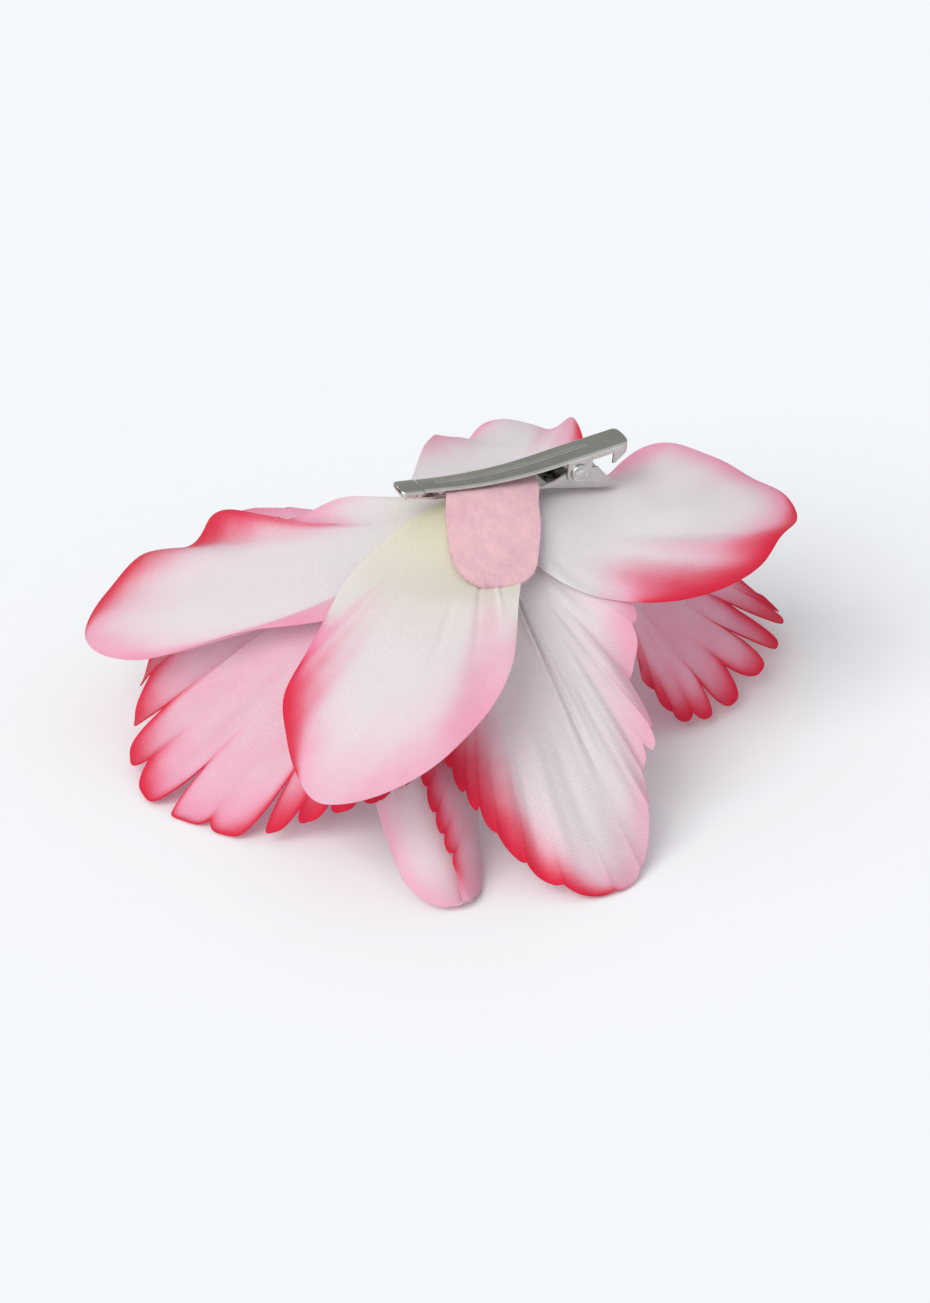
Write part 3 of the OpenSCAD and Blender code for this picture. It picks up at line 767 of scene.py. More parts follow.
def petals() -> list[Petal]:
    """The flower's eight petals, from its back to its face."""
    return [
        Petal(
            "sepal_front",
            Form(0, ((-1.5, -3, 52), (-15.5, -31, 44.5), (-20.5, -51, 37), (-34.5, -61.5, 21)),
                 (9, 17, 23.5, 23, 18.5), (9, 19.5, 22, 23.5, 19.5), (-1, 11, 10), (-2, 16, 7)),
            Edge(out=(0, 0, 0.3, -0.4, 0.5, -0.3, 0.4, 0, 0.3, -0.5, 0.3, 0.2, -0.3, 0.3, 0, 0, 0),
                 up=(0, 0, 0, 0.3, 0.5, -0.5, 0.3, 0.2, -0.3, 0.4, -0.3, 0.6, 1.0, 0.3, 0, 0, 0)),
            Pigment(pink=(0, 0, 0, 0.5, 4, 11, 13, 11, 10, 11, 13, 11, 6, 2, 0, 0, 0, 0),
                    red=(0, 0, 0, 0, 0, 0, 0, 0, 0, 0.5, 5.5, 7.5, 2.5, 0, 0, 0, 0, 0),
                    strength=(0, 0, 0.3, 0.6, 0.5, 0.45, 0.9, 1.0, 0.8, 0.1, 0),
                    heart=0.55, heart_reach=29),
            grain=0,
            creases=(Crease(0.33, 0.012, -0.35, 0.2, 0.8), Crease(0.42, 0.012, -0.3, 0.3, 0.8),
                     Crease(0.52, 0.012, -0.3, 0.3, 0.8), Crease(0.24, 0.012, 0.35, 0.25, 0.75)),
        ),
        Petal(
            "sepal_left",
            Form(1, ((-3.5, 0, 51), (-35.5, -16, 39.5), (-61, -4.5, 35.5), (-79.5, 12.5, 23)),
                 (10.5, 15.5, 14, 20.5, 23.5), (8, 15.5, 15, 22.5, 22), (-13, -23, -15), (-7, 1, 18), 7),
            Edge(up=(0, 0.3, 0.6, 0.8, 0.8, 0.8, 0.8, 0.3, 0.3, 0.2, 0.8,
                     3.2, -0.4, 2.9, 2.6, 0.4, -0.4, 0.2, 0.4, 0, 0),
                 out=(0, 0, 0, 0, 0.3, -0.2, 0.3, 0, 0.2, 0.4, 0.3, -1, -1.8, -1.2, -1, -0.6, 0, 0, 0, 0, 0),
                 ruffle_from=0.5),
            Pigment(pink=(0, 1, 4, 6, 7, 7, 7, 7, 8, 9, 13, 16, 16, 16, 15, 10, 6, 3, 1, 0, 0),
                    red=(0, 0, 0, 0, 0, 0, 0, 0, 0, 1.5, 6.5, 9.5, 10.0, 9.5, 8.0, 3.2, 0.3, 0, 0, 0, 0),
                    strength=(0.5, 0.6, 0.65, 0.65, 0.6, 0.6, 0.8, 0.9, 0.7, 0.3, 0),
                    heart=0.3, heart_reach=19),
            grain=62,
        ),
        Petal(
            "sepal_right",
            Form(2, ((3.5, 1, 50.5), (27.5, -5, 47), (44.5, 8.5, 49.5), (53.5, 22.5, 45.5)),
                 (11, 17.5, 21.5, 23, 22), (10, 22.5, 24.5, 20, 20), (18, 6, 13), (-1, 25, -14)),
            Edge(up=(0, 0, 0, 0, 0, 0.4, 0.3, 0, -0.3, 0.3, -0.3,
                     0.4, -0.5, 0.6, -0.6, 0.3, 0.6, -0.3, 0.5, -0.3, 0),
                 out=(0, 0, 0, 0, 0, 0.3, 0, -0.3, 0.3, -0.3, 0.3,
                      0.4, 0.3, -0.6, 0.4, 0, 0.2, -0.2, 0.5, -0.2, 0)),
            Pigment(pink=(0, 0, 0, 2, 4, 5, 5.5, 5.5, 5.5, 5.5, 5.5, 6, 7, 10, 12, 14, 12, 2, 0, 0, 0),
                    red=(0, 0, 0, 0, 0, 0, 0, 0, 0, 0, 0, 0.8, 2.2, 4.2, 6.6, 7.2, 3.4, 0, 0, 0, 0),
                    strength=(0.5, 0.6, 0.62, 0.62, 0.62, 0.75, 0.85, 0.8, 0.8, 0.2, 0)),
            grain=4,
            creases=(Crease(0.60, 0.03, -0.8, 0.35, 1.1), Crease(0.52, 0.03, 0.5, 0.4, 1.1)),
        ),
        Petal(
            "sepal_back",
            Form(3, ((0, 3.5, 49.5), (4, 32, 52), (5, 49.5, 44), (0, 64, 36.5)),
                 (18.5, 17, 15, 12.5, 11), (14, 16.5, 15, 12.5, 12.5), (15, -6, -5), (10, -12, 47)),
            Edge(up=(0, 0, 0, 0, 0.2, 0.2, 0.1, 0, -0.8, -0.2, 1.7,
                     0.3, -1.4, -0.9, 0.5, 0.2, -0.4, 0, 0, 0, 0),
                 ruffle_from=0.4),
            Pigment(pink=(0, 2, 4, 6, 8, 8, 9, 9, 9, 9, 10, 10, 9, 8, 9, 8, 6, 4, 3, 1, 0),
                    red=(0, 0, 0, 0, 0, 0, 0, 0, 0, 0, 0, 0, 0, 0, 0, 1.2, 2.5, 1.5, 0, 0, 0),
                    strength=(0.45, 0.5, 0.55, 0.6, 0.6, 0.65, 0.6, 0.6, 0.6, 0.5, 0.4)),
            grain=85,
        ),
        Petal(
            "petal_left",
            Form(4, ((-3.5, -1, 49), (-33, -9, 40), (-43.5, -19.5, 26.5), (-72.5, -21, 3.5)),
                 (8.5, 26.5, 43, 37.5, 35.5), (9, 25.5, 40.5, 40.5, 37), (14, -15, -9), (1, 13, 49)),
            Edge(out=(0, 0, 0, 0.5, 0.8, 0.8, 0.8, 1, 0.6, 1, 1, 0.6, 1, 0.4, 1.2, 1.4, 1.6, 1, 0.5, 0, 0),
                 up=(0, 0, 0, 0, 0.4, -0.4, 0.3, 0.8, -0.6, 0.3, 0.8,
                     2.5, 5.5, 6.5, 2.5, 0.5, 0.6, 0, 0, 0, 0),
                 cuts=((0.10, 0), (0.14, 1.4), (0.175, 1.8), (0.21, 1.6), (0.245, 2.2), (0.272, 2.4),
                       (0.297, 3), (0.322, 3.8), (0.349, 12), (0.395, 3), (0.438, 13), (0.488, 5),
                       (0.533, 12), (0.583, 9), (0.628, 12), (0.662, 4), (0.695, 3), (0.727, 2.2),
                       (0.752, 3.2), (0.785, 2.2), (0.812, 3), (0.845, 1.6), (0.875, 1.6), (0.91, 0)),
                 ruffle_from=0.55, curl=-1.3, blunt=3.8),
            Pigment(pink=(1, 3, 5, 7, 8, 9, 9, 8, 8, 8, 8, 9, 9, 9, 10, 10, 10, 8, 6, 4, 1),
                    red=(0, 1, 3, 3.8, 5, 7, 7.6, 5, 1.5, 2.5, 6, 8.5, 9, 8, 4, 0.8, 0.4, 0.4, 0, 0, 0),
                    strength=(0.7, 0.8, 0.85, 0.7, 0.62, 0.75, 0.85, 0.6, 0.45, 0.4, 0.4), body=0.38),
            grain=-68,
            creases=(Crease(0.30, 0.012, -0.7, 0.4, 1.1), Crease(0.36, 0.012, 0.7, 0.45, 1.1),
                     Crease(0.41, 0.012, -0.7, 0.4, 1.1), Crease(0.47, 0.015, -0.6, 0.45, 1.1),
                     Crease(0.55, 0.012, -0.6, 0.5, 1.1), Crease(0.60, 0.014, 0.6, 0.4, 1.1)),
            slot="petal_fabric", columns=520,
        ),
        Petal(
            "petal_front",
            Form(5, ((0.5, -3.5, 48), (0.5, -17.5, 45.5), (5, -33, 34), (23, -63.5, 0.5)),
                 (9.5, 16.5, 23.5, 20.5, 16), (9.5, 16.5, 21.5, 22, 18.5), (0, 8, 0), (5, 3, 11), 10),
            Edge(out=(0, 0, 0, 0.9, -0.6, -1.8, 2.2, -1.2, 0, 1.3, 0.6,
                      0.3, 0.4, 0.2, 0.4, 0.3, 0.2, 0, 0, 0, 0),
                 up=(0, 0, 0.6, 1, 1.2, -1.9, 1.3, -1.1, 0.6, -0.5, 0.4,
                     0.3, -0.5, 0.5, -0.5, 0.3, 0, 0, 0, 0, 0),
                 cuts=((0.12, 0), (0.19, 2), (0.262, 3.4), (0.30, 2.8), (0.328, 3.2), (0.36, 2),
                       (0.392, 1.4), (0.455, 1), (0.50, 0.8), (0.555, 1), (0.598, 1.2), (0.64, 0.8),
                       (0.668, 2.2), (0.692, 2), (0.72, 1.6), (0.75, 1.5), (0.79, 0)),
                 curl=-0.6, blunt=3.0),
            Pigment(pink=(0, 0, 1, 5, 7, 7, 7, 6, 6, 6, 6, 8, 9, 10, 10, 10, 6, 3, 1, 0, 0),
                    red=(0, 0, 0, 0, 0, 0, 0, 0, 0, 0, 1.2, 4.6, 6.5, 8.4, 9.4, 7.5, 2, 0, 0, 0, 0),
                    strength=(0, 0.5, 0.6, 0.5, 0.42, 0.55, 0.7, 0.85, 0.8, 0.3, 0), body=0.02),
            grain=88,
            creases=(Crease(0.447, 0.006, -0.75, 0.08, 0.82), Crease(0.432, 0.006, 0.45, 0.08, 0.82),
                     Crease(0.463, 0.006, 0.55, 0.08, 0.8), Crease(0.50, 0.012, -0.5, 0.5, 1.1),
                     Crease(0.54, 0.011, 0.6, 0.5, 1.1), Crease(0.575, 0.011, -0.65, 0.45, 1.1),
                     Crease(0.61, 0.011, 0.6, 0.5, 1.1), Crease(0.64, 0.010, -0.6, 0.5, 1.1),
                     Crease(0.40, 0.012, -0.5, 0.5, 1.1), Crease(0.36, 0.012, 0.5, 0.45, 1.1),
                     Crease(0.30, 0.014, -0.6, 0.35, 1.0), Crease(0.24, 0.02, 0.6, 0.35, 1.0)),
            slot="petal_fabric", columns=460,
        ),
        Petal(
            "petal_right",
            Form(6, ((3, 1, 47), (20, 16, 35.5), (40.5, 26.5, 14.5), (59.5, 20, 8.5)),
                 (9.5, 20.5, 29.5, 34, 34.5), (9.5, 19.5, 27.5, 31.5, 30.5), (1, 16, 1), (0, 29, 37)),
            Edge(out=(0, 0, 0, 0.5, 0.8, 1, 1, 1, 1, 1, 1.5, 2.2, 2.4, 1.6, 1, 0.5, 0.5, 0, 0, 0, 0),
                 up=(0, 0, 0, 0.5, -0.5, 0.6, -0.6, 0.7, 0.5, 0.8, -0.4,
                     0.6, -0.6, 0.5, -0.3, 0.4, 0, 0, 0, 0, 0),
                 cuts=((0.10, 0), (0.15, 1.5), (0.20, 2), (0.25, 2), (0.29, 2), (0.33, 2.2),
                       (0.37, 2.2), (0.41, 2.5), (0.435, 5), (0.475, 12), (0.532, 13.5), (0.585, 9),
                       (0.637, 11), (0.675, 3), (0.715, 0.8), (0.76, 0.8), (0.80, 0)),
                 curl=-1.3, blunt=3.0),
            Pigment(pink=(1, 3, 5, 7, 8, 8, 9, 9, 9, 9, 10, 10, 10, 9, 9, 9, 8, 6, 4, 2, 1),
                    red=(0, 1, 2, 2, 2.4, 3.0, 3.4, 4, 5, 6, 6, 6, 6, 6, 6.4, 5.0, 2.6, 1, 0, 0, 0),
                    strength=(0.7, 0.7, 0.7, 0.7, 0.7, 0.6, 0.6, 0.7, 0.75, 0.6, 0.5), body=0.50),
            grain=75,
            creases=(Crease(0.50, 0.018, -1.0, 0.4, 1.1), Crease(0.56, 0.02, 0.9, 0.4, 1.1),
                     Crease(0.61, 0.014, -1.0, 0.4, 1.1), Crease(0.66, 0.016, 0.8, 0.4, 1.1),
                     Crease(0.72, 0.016, -0.6, 0.4, 1.0), Crease(0.45, 0.014, 0.7, 0.5, 1.1)),
            slot="petal_fabric", columns=460,
        ),
        Petal(
            "lip",
            Form(7, ((-1, -3.5, 46.5), (-15.5, -24.5, 34), (-17.5, -44, 15.5), (-8, -69.5, 1.5)),
                 (6.5, 9, 11.5, 12.5, 12.5), (6.5, 10, 12.5, 10.5, 8), (1, 0, 2), (10, 49, 77), 12,
                 flap=(0, 6, 14, 14, 11)),
            Edge(up=(0, 0, 0, 0, 0, 0, 0, 0, 0, 0, 0, 0, 0.4, -0.3, 0.3, 0, 0, 0, 0, 0, 0),
                 cuts=((0.10, 0), (0.145, 1), (0.18, 1.2), (0.215, 1.2), (0.245, 1.4), (0.275, 1.3),
                       (0.305, 1.4), (0.335, 1.3), (0.365, 1.4), (0.39, 1.2), (0.415, 1.2), (0.45, 0)),
                 blunt=3.0, curl=-0.2),
            Pigment(pink=(1, 3, 5, 6, 7, 7, 7, 7, 6, 5, 6, 6, 5, 4, 3, 3, 2, 1, 0, 0, 0),
                    red=(0, 1.2, 2.4, 2.6, 2.6, 2.6, 2.6, 2.6, 2.2, 0.8, 0, 0, 0, 0, 0, 0, 0, 0, 0, 0, 0),
                    strength=(0.7, 0.9, 0.9, 0.85, 0.8, 0.5, 0.45, 0.4, 0.3, 0.2, 0), body=0.08),
            grain=0,
            slot="lip_fabric",
        ),
    ]


# ---- Felt patch ----


@dataclass(frozen=True)
class Felt:
    """Thin pressed felt: mottled pink, with loose fibres."""

    light: tuple[float, float, float, float] = (0.84, 0.48, 0.51, 1.0)
    dark: tuple[float, float, float, float] = (0.60, 0.34, 0.42, 1.0)
    fibre: tuple[float, float, float, float] = (0.88, 0.60, 0.62, 1.0)

    def material(self, name: str) -> bpy.types.Material:
        """Large soft clouds, long streaks and fine fibres, all from noise on the object's own coordinates."""
        s = Shader(name)
        place = s.add("TexCoord").outputs["Object"]
        clouds = s.noise(place, 260.0, 3.0)
        streaks = s.noise(s.stretched(place, (1100.0, 260.0, 500.0)), 1.0, 4.0)
        fibres = s.noise(place, 3600.0, 3.0)
        share = s.math("SUBTRACT", s.total((clouds, 1.5), (streaks, 0.9)), 0.72, clamp=True)
        colour = s.blend(share, self.dark, self.light)
        colour = s.blend(s.math("MULTIPLY", fibres, 0.45), colour, self.fibre)
        height = s.total((fibres, 0.6), (streaks, 0.5))
        wool = s.add("BsdfPrincipled", {"Base Color": colour, "Roughness": 0.95, "Sheen Weight": 0.35,
                                        "Sheen Roughness": 0.6, "Specular IOR Level": 0.1,
                                        "Normal": s.bump(height, 0.00010, 0.6)})
        return s.finish(wool.outputs[0])


@dataclass
class FeltPatch:
    """The strip of felt with round ends, laid over the jaw and down the front sepal, in millimetres.

    Attributes:
        width: Its width.
        front: How far it reaches ahead of the flower's middle.
        back: How far it reaches behind it.
        thick: Thickness of its CAD solid.
        knee: Distance ahead of the middle where its fall becomes a straight slope.
        slope: That slope.
        dome: Its fall by the square of the distance to the side, ahead and behind.
        over_cloth: Height of its underside over the flower's middle, on the front sepal.
        flat_half: Half width of its flat stretch over the jaw.
        fall: Width over which it comes down from the jaw.
        ends: Power of the outline's round ends.
        lean: The same power at the left of the front end, which is rounder.
        hairs: Number of loose fibres on its face.
        edge_hairs: Number of loose fibres along its cut edge.
    """

    width: float = 18.4
    front: float = 25.5
    back: float = 13.0
    thick: float = 0.8
    knee: float = 11.0
    slope: float = 0.33
    dome: tuple[float, float, float] = (0.008, 0.020, 0.006)
    over_cloth: float = 0.575
    flat_half: float = 3.75
    fall: float = 3.4
    ends: float = 4.5
    lean: float = 2.6
    rows: int = 150
    columns: int = 110
    hairs: int = 1500
    edge_hairs: int = 900

    def height(self, x: Array, y: Array, clip: "ClipFrame") -> Array:
        """Height over the flower's middle: the flower's dome, raised to the jaw's top over the jaw.

        Args:
            x: Distance to the right of the middle.
            y: Distance behind the middle.
            clip: The clip's frame.

        Returns:
            Heights of the felt's middle surface, in millimetres.
        """
        side, ahead, behind = self.dome
        curved = ahead * np.minimum(np.maximum(-y, 0.0), self.knee) ** 2
        straight = np.maximum(-y - self.knee, 0.0) * self.slope
        drop = np.where(y < 0, curved + straight, behind * y * y)
        base = self.over_cloth + self.thick / 2 - side * x * x - drop
        place = clip.inside(np.stack([x, y, np.zeros_like(x)], axis=-1))
        top = clip.over_jaw(place[..., 0]) + 0.1 + self.thick / 2
        hump = 1 - smooth((np.abs(place[..., 1]) - self.flat_half) / self.fall)
        return base + (np.maximum(base, top) - base) * hump

    def build(self, middle: Array, clip: "ClipFrame") -> list[bpy.types.Object]:
        """Makes the patch and its loose fibres.

        The plan is (half width times side, along), with the half width closing as the root of 1 - |s|^ends.

        Args:
            middle: The flower's middle in metres.
            clip: The clip's frame.

        Returns:
            The patch and the fibres.
        """
        s = np.sin(np.linspace(-1, 1, self.rows) * math.pi / 2) * 0.9995
        side = np.sin(np.linspace(-1, 1, self.columns) * 1.35) / math.sin(1.35)
        right = self.width / 2 * np.sqrt(1 - np.abs(s) ** self.ends) + 0.14 * np.sin(9 * s + 0.4)
        left = self.width / 2 * np.sqrt(1 - np.abs(s) ** np.where(s > 0, self.lean, self.ends))
        left = left + 0.12 * np.sin(8 * s + 2.0)
        half = np.maximum((right + left) / 2, 0.35)
        y = self.back - (self.back + self.front) * (s + 1) / 2
        x2 = half[:, None] * side[None] + ((right - left) / 2)[:, None]
        y2 = np.repeat(y[:, None], self.columns, axis=1)
        z2 = self.height(x2, y2, clip) + 0.05 * np.sin(1.1 * x2 + 0.3 * y2) * np.sin(0.8 * y2)
        z2 = z2 + 0.02 * np.sin(2.7 * x2) * np.sin(2.2 * y2 + 1)
        points = np.stack([x2, y2, z2], axis=-1)
        loops, starts = four(quads(self.rows, self.columns)[:, ::-1])
        uv = np.stack([x2, y2], axis=-1).reshape(-1, 2) * MM
        patch = make_piece("felt_strip", middle + points.reshape(-1, 3) * MM, loops, starts,
                           "flower", "felt_patch", uv)
        add_modifier(patch, "SOLIDIFY", thickness=self.thick * 0.8 * MM, offset=0.0, use_rim=True)
        soften(patch, 0.1, 2, 0.9)
        return [patch, self.fibres(middle, points)]

    def fibres(self, middle: Array, points: Array) -> bpy.types.Object:
        """Loose fibres: thin three-sided hairs that stand out from the face and the cut edge in short arcs.

        Each hair is root + (way * u + drift * u^2) * length, with u from 0 at its root to 1 at its tip.

        Args:
            middle: The flower's middle in metres.
            points: The felt's middle surface, in millimetres from there.

        Returns:
            The fibres, as one piece.
        """
        rng = np.random.default_rng(7)
        normals = grid_normals(points)
        normals = np.where(normals[..., 2:] < 0, -normals, normals)
        face, edge = self.hairs, self.edge_hairs
        i = rng.integers(2, self.rows - 2, face + edge)
        j = rng.integers(1, self.columns - 1, face + edge)
        j[face:] = np.where(rng.random(edge) < 0.5, 0, self.columns - 1)
        root, normal = points[i, j], normals[i, j]
        outward = np.zeros_like(root)
        outward[face:, 0] = np.where(j[face:] == 0, -1.0, 1.0)
        way = unit(normal * 0.5 + outward * 1.2 + rng.normal(0, 0.45, root.shape))
        drift = rng.normal(0, 0.35, root.shape)
        length = rng.uniform(0.2, 0.75, len(root))[:, None, None]
        root = root + normal * (self.thick / 2 - 0.05)
        u = np.linspace(0, 1, 4)[None, :, None]
        spine = root[:, None] + (way[:, None] * u + drift[:, None] * u**2) * length
        turn = np.arange(3) * 2 * math.pi / 3
        ring = np.stack([np.cos(turn), np.sin(turn), 0.5 * np.cos(turn)], axis=-1)[None, None]
        radius = 0.014 * (1 - 0.6 * u)[..., None]
        hairs = (spine[:, :, None] + ring * radius).reshape(-1, 3)
        one = quads(4, 3, closed=True)
        caps = np.array([[2, 1, 0, 0], [9, 10, 11, 11]])
        offset = (np.arange(len(root)) * 12)[:, None, None]
        sides = (one[None] + offset).reshape(-1, 4)
        ends = (caps[None, :, :3] + offset).reshape(-1, 3)
        loops = np.concatenate([sides.ravel(), ends.ravel()])
        starts = np.concatenate([np.arange(len(sides)) * 4, sides.size + np.arange(len(ends)) * 3])
        return make_piece("felt_fibres", middle + hairs * MM, loops, starts, "flower")


# ---- Clip ----


@dataclass(frozen=True)
class ClipFrame:
    """The clip's own frame: its origin on the pivot, x towards the thumb end, y along the rivet, z up.

    Attributes:
        origin: The pivot in metres.
        middle: The flower's middle in metres.
        axes: The frame's three unit axes, one in each row.
        pitch: How far the thumb end is turned down, in degrees.
        drop: Depth of the jaw's underside under the pivot, in millimetres.
        sheet: Thickness of the jaw's steel, in millimetres.
        bend_at: Where along the clip the jaw's tail starts to fall, in millimetres.
        tail_fall: That fall, in degrees.
    """

    origin: Array
    middle: Array
    axes: Array
    pitch: float = 5.0
    drop: float = 2.9
    sheet: float = 0.5
    bend_at: float = -6.5
    tail_fall: float = 6.0

    @classmethod
    def from_joint(cls, middle: Array, pitch: float = 5.0) -> "ClipFrame":
        """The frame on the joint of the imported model: y is its axis, and x is turned down by the pitch."""
        joint = next(j for j in frame["record"]["behaviour"]["joints"] if j["name"] == "clip_pivot")
        y = unit(np.array(joint["axis"], float))
        level = np.array([y[1], -y[0], 0.0])
        fall = math.radians(pitch)
        x = level * math.cos(fall) - np.array([0, 0, math.sin(fall)])
        z = level * math.sin(fall) + np.array([0, 0, math.cos(fall)])
        return cls(np.array(joint["pos_m"], float), middle, np.stack([x, y, z]), pitch)

    def inside(self, points: Array) -> Array:
        """Points given in millimetres from the flower's middle, read in the clip's plan."""
        away = points - (self.origin - self.middle) / MM
        level = unit(self.axes[0] * [1, 1, 0])
        return np.stack([away @ level, away @ self.axes[1], away[..., 2]], axis=-1)

    def over_jaw(self, x: Array) -> Array:
        """Height of the jaw strip's top over the flower's middle, at x along the clip."""
        fall = math.radians(self.pitch)
        under = -self.drop - np.maximum(x - self.bend_at, 0) * math.tan(math.radians(self.tail_fall))
        pivot = (self.origin - self.middle)[2] / MM
        return pivot - x * math.sin(fall) + (under + self.sheet) * math.cos(fall)

    def out(self, points: Array) -> Array:
        """Points given in millimetres in the clip's frame, in metres in the model's frame."""
        return self.origin + (points @ self.axes) * MM


class PlateWear(Enum):
    """How worn a nickel plate is: roughness, how much that varies, and the depth of its scratches."""

    HANDLED = (0.20, 0.16, 0.5)
    BRIGHT = (0.13, 0.08, 0.3)
    DRAWN = (0.24, 0.10, 0.6)


@dataclass(frozen=True)
class Nickel:
    """Bright nickel plate on pressed steel, with smudges and fine scratches along the clip."""

    wear: PlateWear
    light: tuple[float, float, float, float] = (0.72, 0.715, 0.69, 1.0)
    dull: tuple[float, float, float, float] = (0.50, 0.495, 0.465, 1.0)

    def material(self, name: str, yaw: float) -> bpy.types.Material:
        """Smudges mix the two colours and the roughness; scratches are noise stretched along the clip.

        Args:
            name: The material's name.
            yaw: Turn of the clip over the flower, in radians.

        Returns:
            The material.
        """
        rough, spread, scratch = self.wear.value
        s = Shader(name)
        place = s.add("TexCoord").outputs["Object"]
        turned = s.stretched(place, (1.0, 1.0, 1.0), -yaw)
        smudge = s.noise(turned, 320.0, 3.0)
        lines = s.noise(s.stretched(turned, (180.0, 5200.0, 5200.0)), 1.0, 3.0)
        pits = s.noise(place, 2600.0, 2.0)
        colour = s.blend(s.math("MULTIPLY", smudge, 0.9), self.light, self.dull)
        gloss = s.math("ADD", s.total((smudge, spread), (lines, spread * 0.6)), rough - spread * 0.6)
        height = s.total((lines, 0.7), (pits, 0.3))
        plate = s.add("BsdfPrincipled", {"Base Color": colour, "Metallic": 1.0, "Roughness": gloss,
                                         "Normal": s.bump(height, 0.00002, scratch)})
        return s.finish(plate.outputs[0])


@dataclass
class Lever:
    """The pressed upper lever: a curved channel with a groove, a tip pad, two ears and a thumb tab.

    Sizes are in millimetres, in the clip's frame.

    Attributes:
        tip: Where the tip is, along the clip.
        thumb: Where the thumb end is.
        half: Half width at the pivot and behind it.
        nose_half: Half width just behind the tip pad.
        pad_half: Half width of the tip pad.
        pad_len: Length of the tip pad.
        wall: Thickness of the steel.
        flange: Depth of the flanges.
        arc: Where the curved stretch starts and ends.
        bend: Angle through which it turns, in degrees.
        ear: Radius of the ears.
        deep_flange: Depth of the flanges behind the ears.
        tab: Where the thumb tab starts, its depth there, and its depth at the thumb end.
        tooth: Pitch and height of the teeth.
        rear_teeth: Distance from the tip to the second row of teeth.
        corner: Radius of the corners between the top and the flanges.
        crown: How much higher the top is in its middle.
        groove: Where the two long grooves start and end, and their distance from the middle.
        groove_press: Their depth and half width.
        dot: Place, depth and squared radius of the punch mark.
        dimple: Place, depth and squared radius of the thumb's dimple.
        step: Where the pressed line across the tip starts and ends, and its depth.
    """

    tip: float = -38.5
    thumb: float = 10.5
    half: float = 3.55
    nose_half: float = 2.6
    pad_half: float = 2.9
    pad_len: float = 4.6
    wall: float = 0.46
    flange: float = 1.0
    arc: tuple[float, float] = (-28.0, -7.0)
    bend: float = 12.5
    ear: float = 2.7
    deep_flange: float = 1.9
    tab: tuple[float, float, float] = (7.3, 4.2, 2.3)
    tooth: tuple[float, float] = (1.5, 0.9)
    rear_teeth: float = 7.6
    corner: float = 0.55
    crown: float = 0.28
    groove: tuple[float, float, float] = (-31.5, 3.2, 0.45)
    groove_press: tuple[float, float] = (0.16, 0.16)
    dot: tuple[float, float, float] = (4.4, 0.22, 0.16)
    dimple: tuple[float, float, float] = (7.8, 0.30, 3.2)
    step: tuple[float, float, float] = (-34.2, -33.4, 0.10)

    def rise(self, x: Array) -> Array:
        """Height of the top: level, then a circle's arc, then a straight line up to the thumb end."""
        radius = (self.arc[1] - self.arc[0]) / math.sin(math.radians(self.bend))
        inside = np.clip(x - self.arc[0], 0.0, self.arc[1] - self.arc[0])
        arc = radius - np.sqrt(radius**2 - inside**2)
        return arc + np.maximum(x - self.arc[1], 0.0) * math.tan(math.radians(self.bend))

    def half_width(self, x: Array) -> Array:
        """Half width by straight lines between stations, with both ends rounded off by a quarter circle."""
        stations = [self.tip, self.tip + self.pad_len, self.tip + self.pad_len + 0.5, -6.0, self.thumb]
        widths = [self.pad_half, self.pad_half, self.nose_half, self.half, self.half]
        plain = np.interp(x, stations, widths)
        for end, radius in ((x - self.tip, 1.0), (self.thumb - x, 0.9)):
            near = np.clip(end / radius, 0.0, 1.0)
            plain = plain - radius * (1 - np.sqrt(1 - (1 - near) ** 2))
        return plain

    def depth(self, x: Array) -> Array:
        """Depth of the flange: saw teeth at the tip, a round ear at the pivot and a tab at the thumb end."""
        pitch, tall = self.tooth
        saw = [(self.tip + pitch * k / 2, self.flange + tall * (k % 2)) for k in range(7)]
        rear = self.tip + self.rear_teeth
        saw += [(rear, self.flange), (rear + pitch / 2, self.flange + tall), (rear + pitch, self.flange)]
        start, tall_tab, end = self.tab
        saw += [(self.ear, self.deep_flange), (start, self.deep_flange), (start + 0.02, tall_tab),
                (start + 0.5, tall_tab), (self.thumb, end)]
        depth = np.interp(x, [p[0] for p in saw], [p[1] for p in saw])
        depth = np.where((x > rear + pitch) & (x < -self.ear), self.flange, depth)
        ear = self.rise(x) + np.sqrt(np.maximum(self.ear**2 - x * x, 0.0))
        return np.maximum(depth, np.where(np.abs(x) < self.ear, ear, 0.0))

    def stations(self) -> Array:
        """Places along the lever where its section is worked out: close together at its teeth and ends."""
        start = self.tab[0]
        quarter = 1 - np.cos(np.linspace(0, math.pi / 2, 10))
        x = np.concatenate([
            self.tip + quarter,
            np.linspace(self.tip + 1.1, self.tip + 9.5, 70),
            np.linspace(self.tip + 9.8, -self.ear - 0.05, 110),
            -self.ear * np.cos(np.linspace(0, math.pi, 41)),
            np.linspace(self.ear + 0.1, start, 24),
            [start + 0.02],
            np.linspace(start + 0.1, self.thumb - 1.0, 14),
            self.thumb - 0.9 * quarter[::-1],
        ])
        return np.unique(np.round(x, 4))

    def pressed(self, x: Array, y: Array) -> Array:
        """Depth of the marks in the top: bell-shaped grooves, dot and dimple, and a step across the tip."""
        start, end, apart = self.groove
        deep, wide = self.groove_press
        run = smooth((x - start) / 1.2) * smooth((end - x) / 0.8)
        press = -deep * np.exp(-((np.abs(y) - apart) / wide) ** 2) * run
        for place, depth, spread in (self.dot, self.dimple):
            press = press - depth * np.exp(-((x - place) ** 2 + y**2) / spread)
        start, end, deep = self.step
        return press - deep * smooth((x - start) / 0.25) * smooth((end - x) / 0.25)

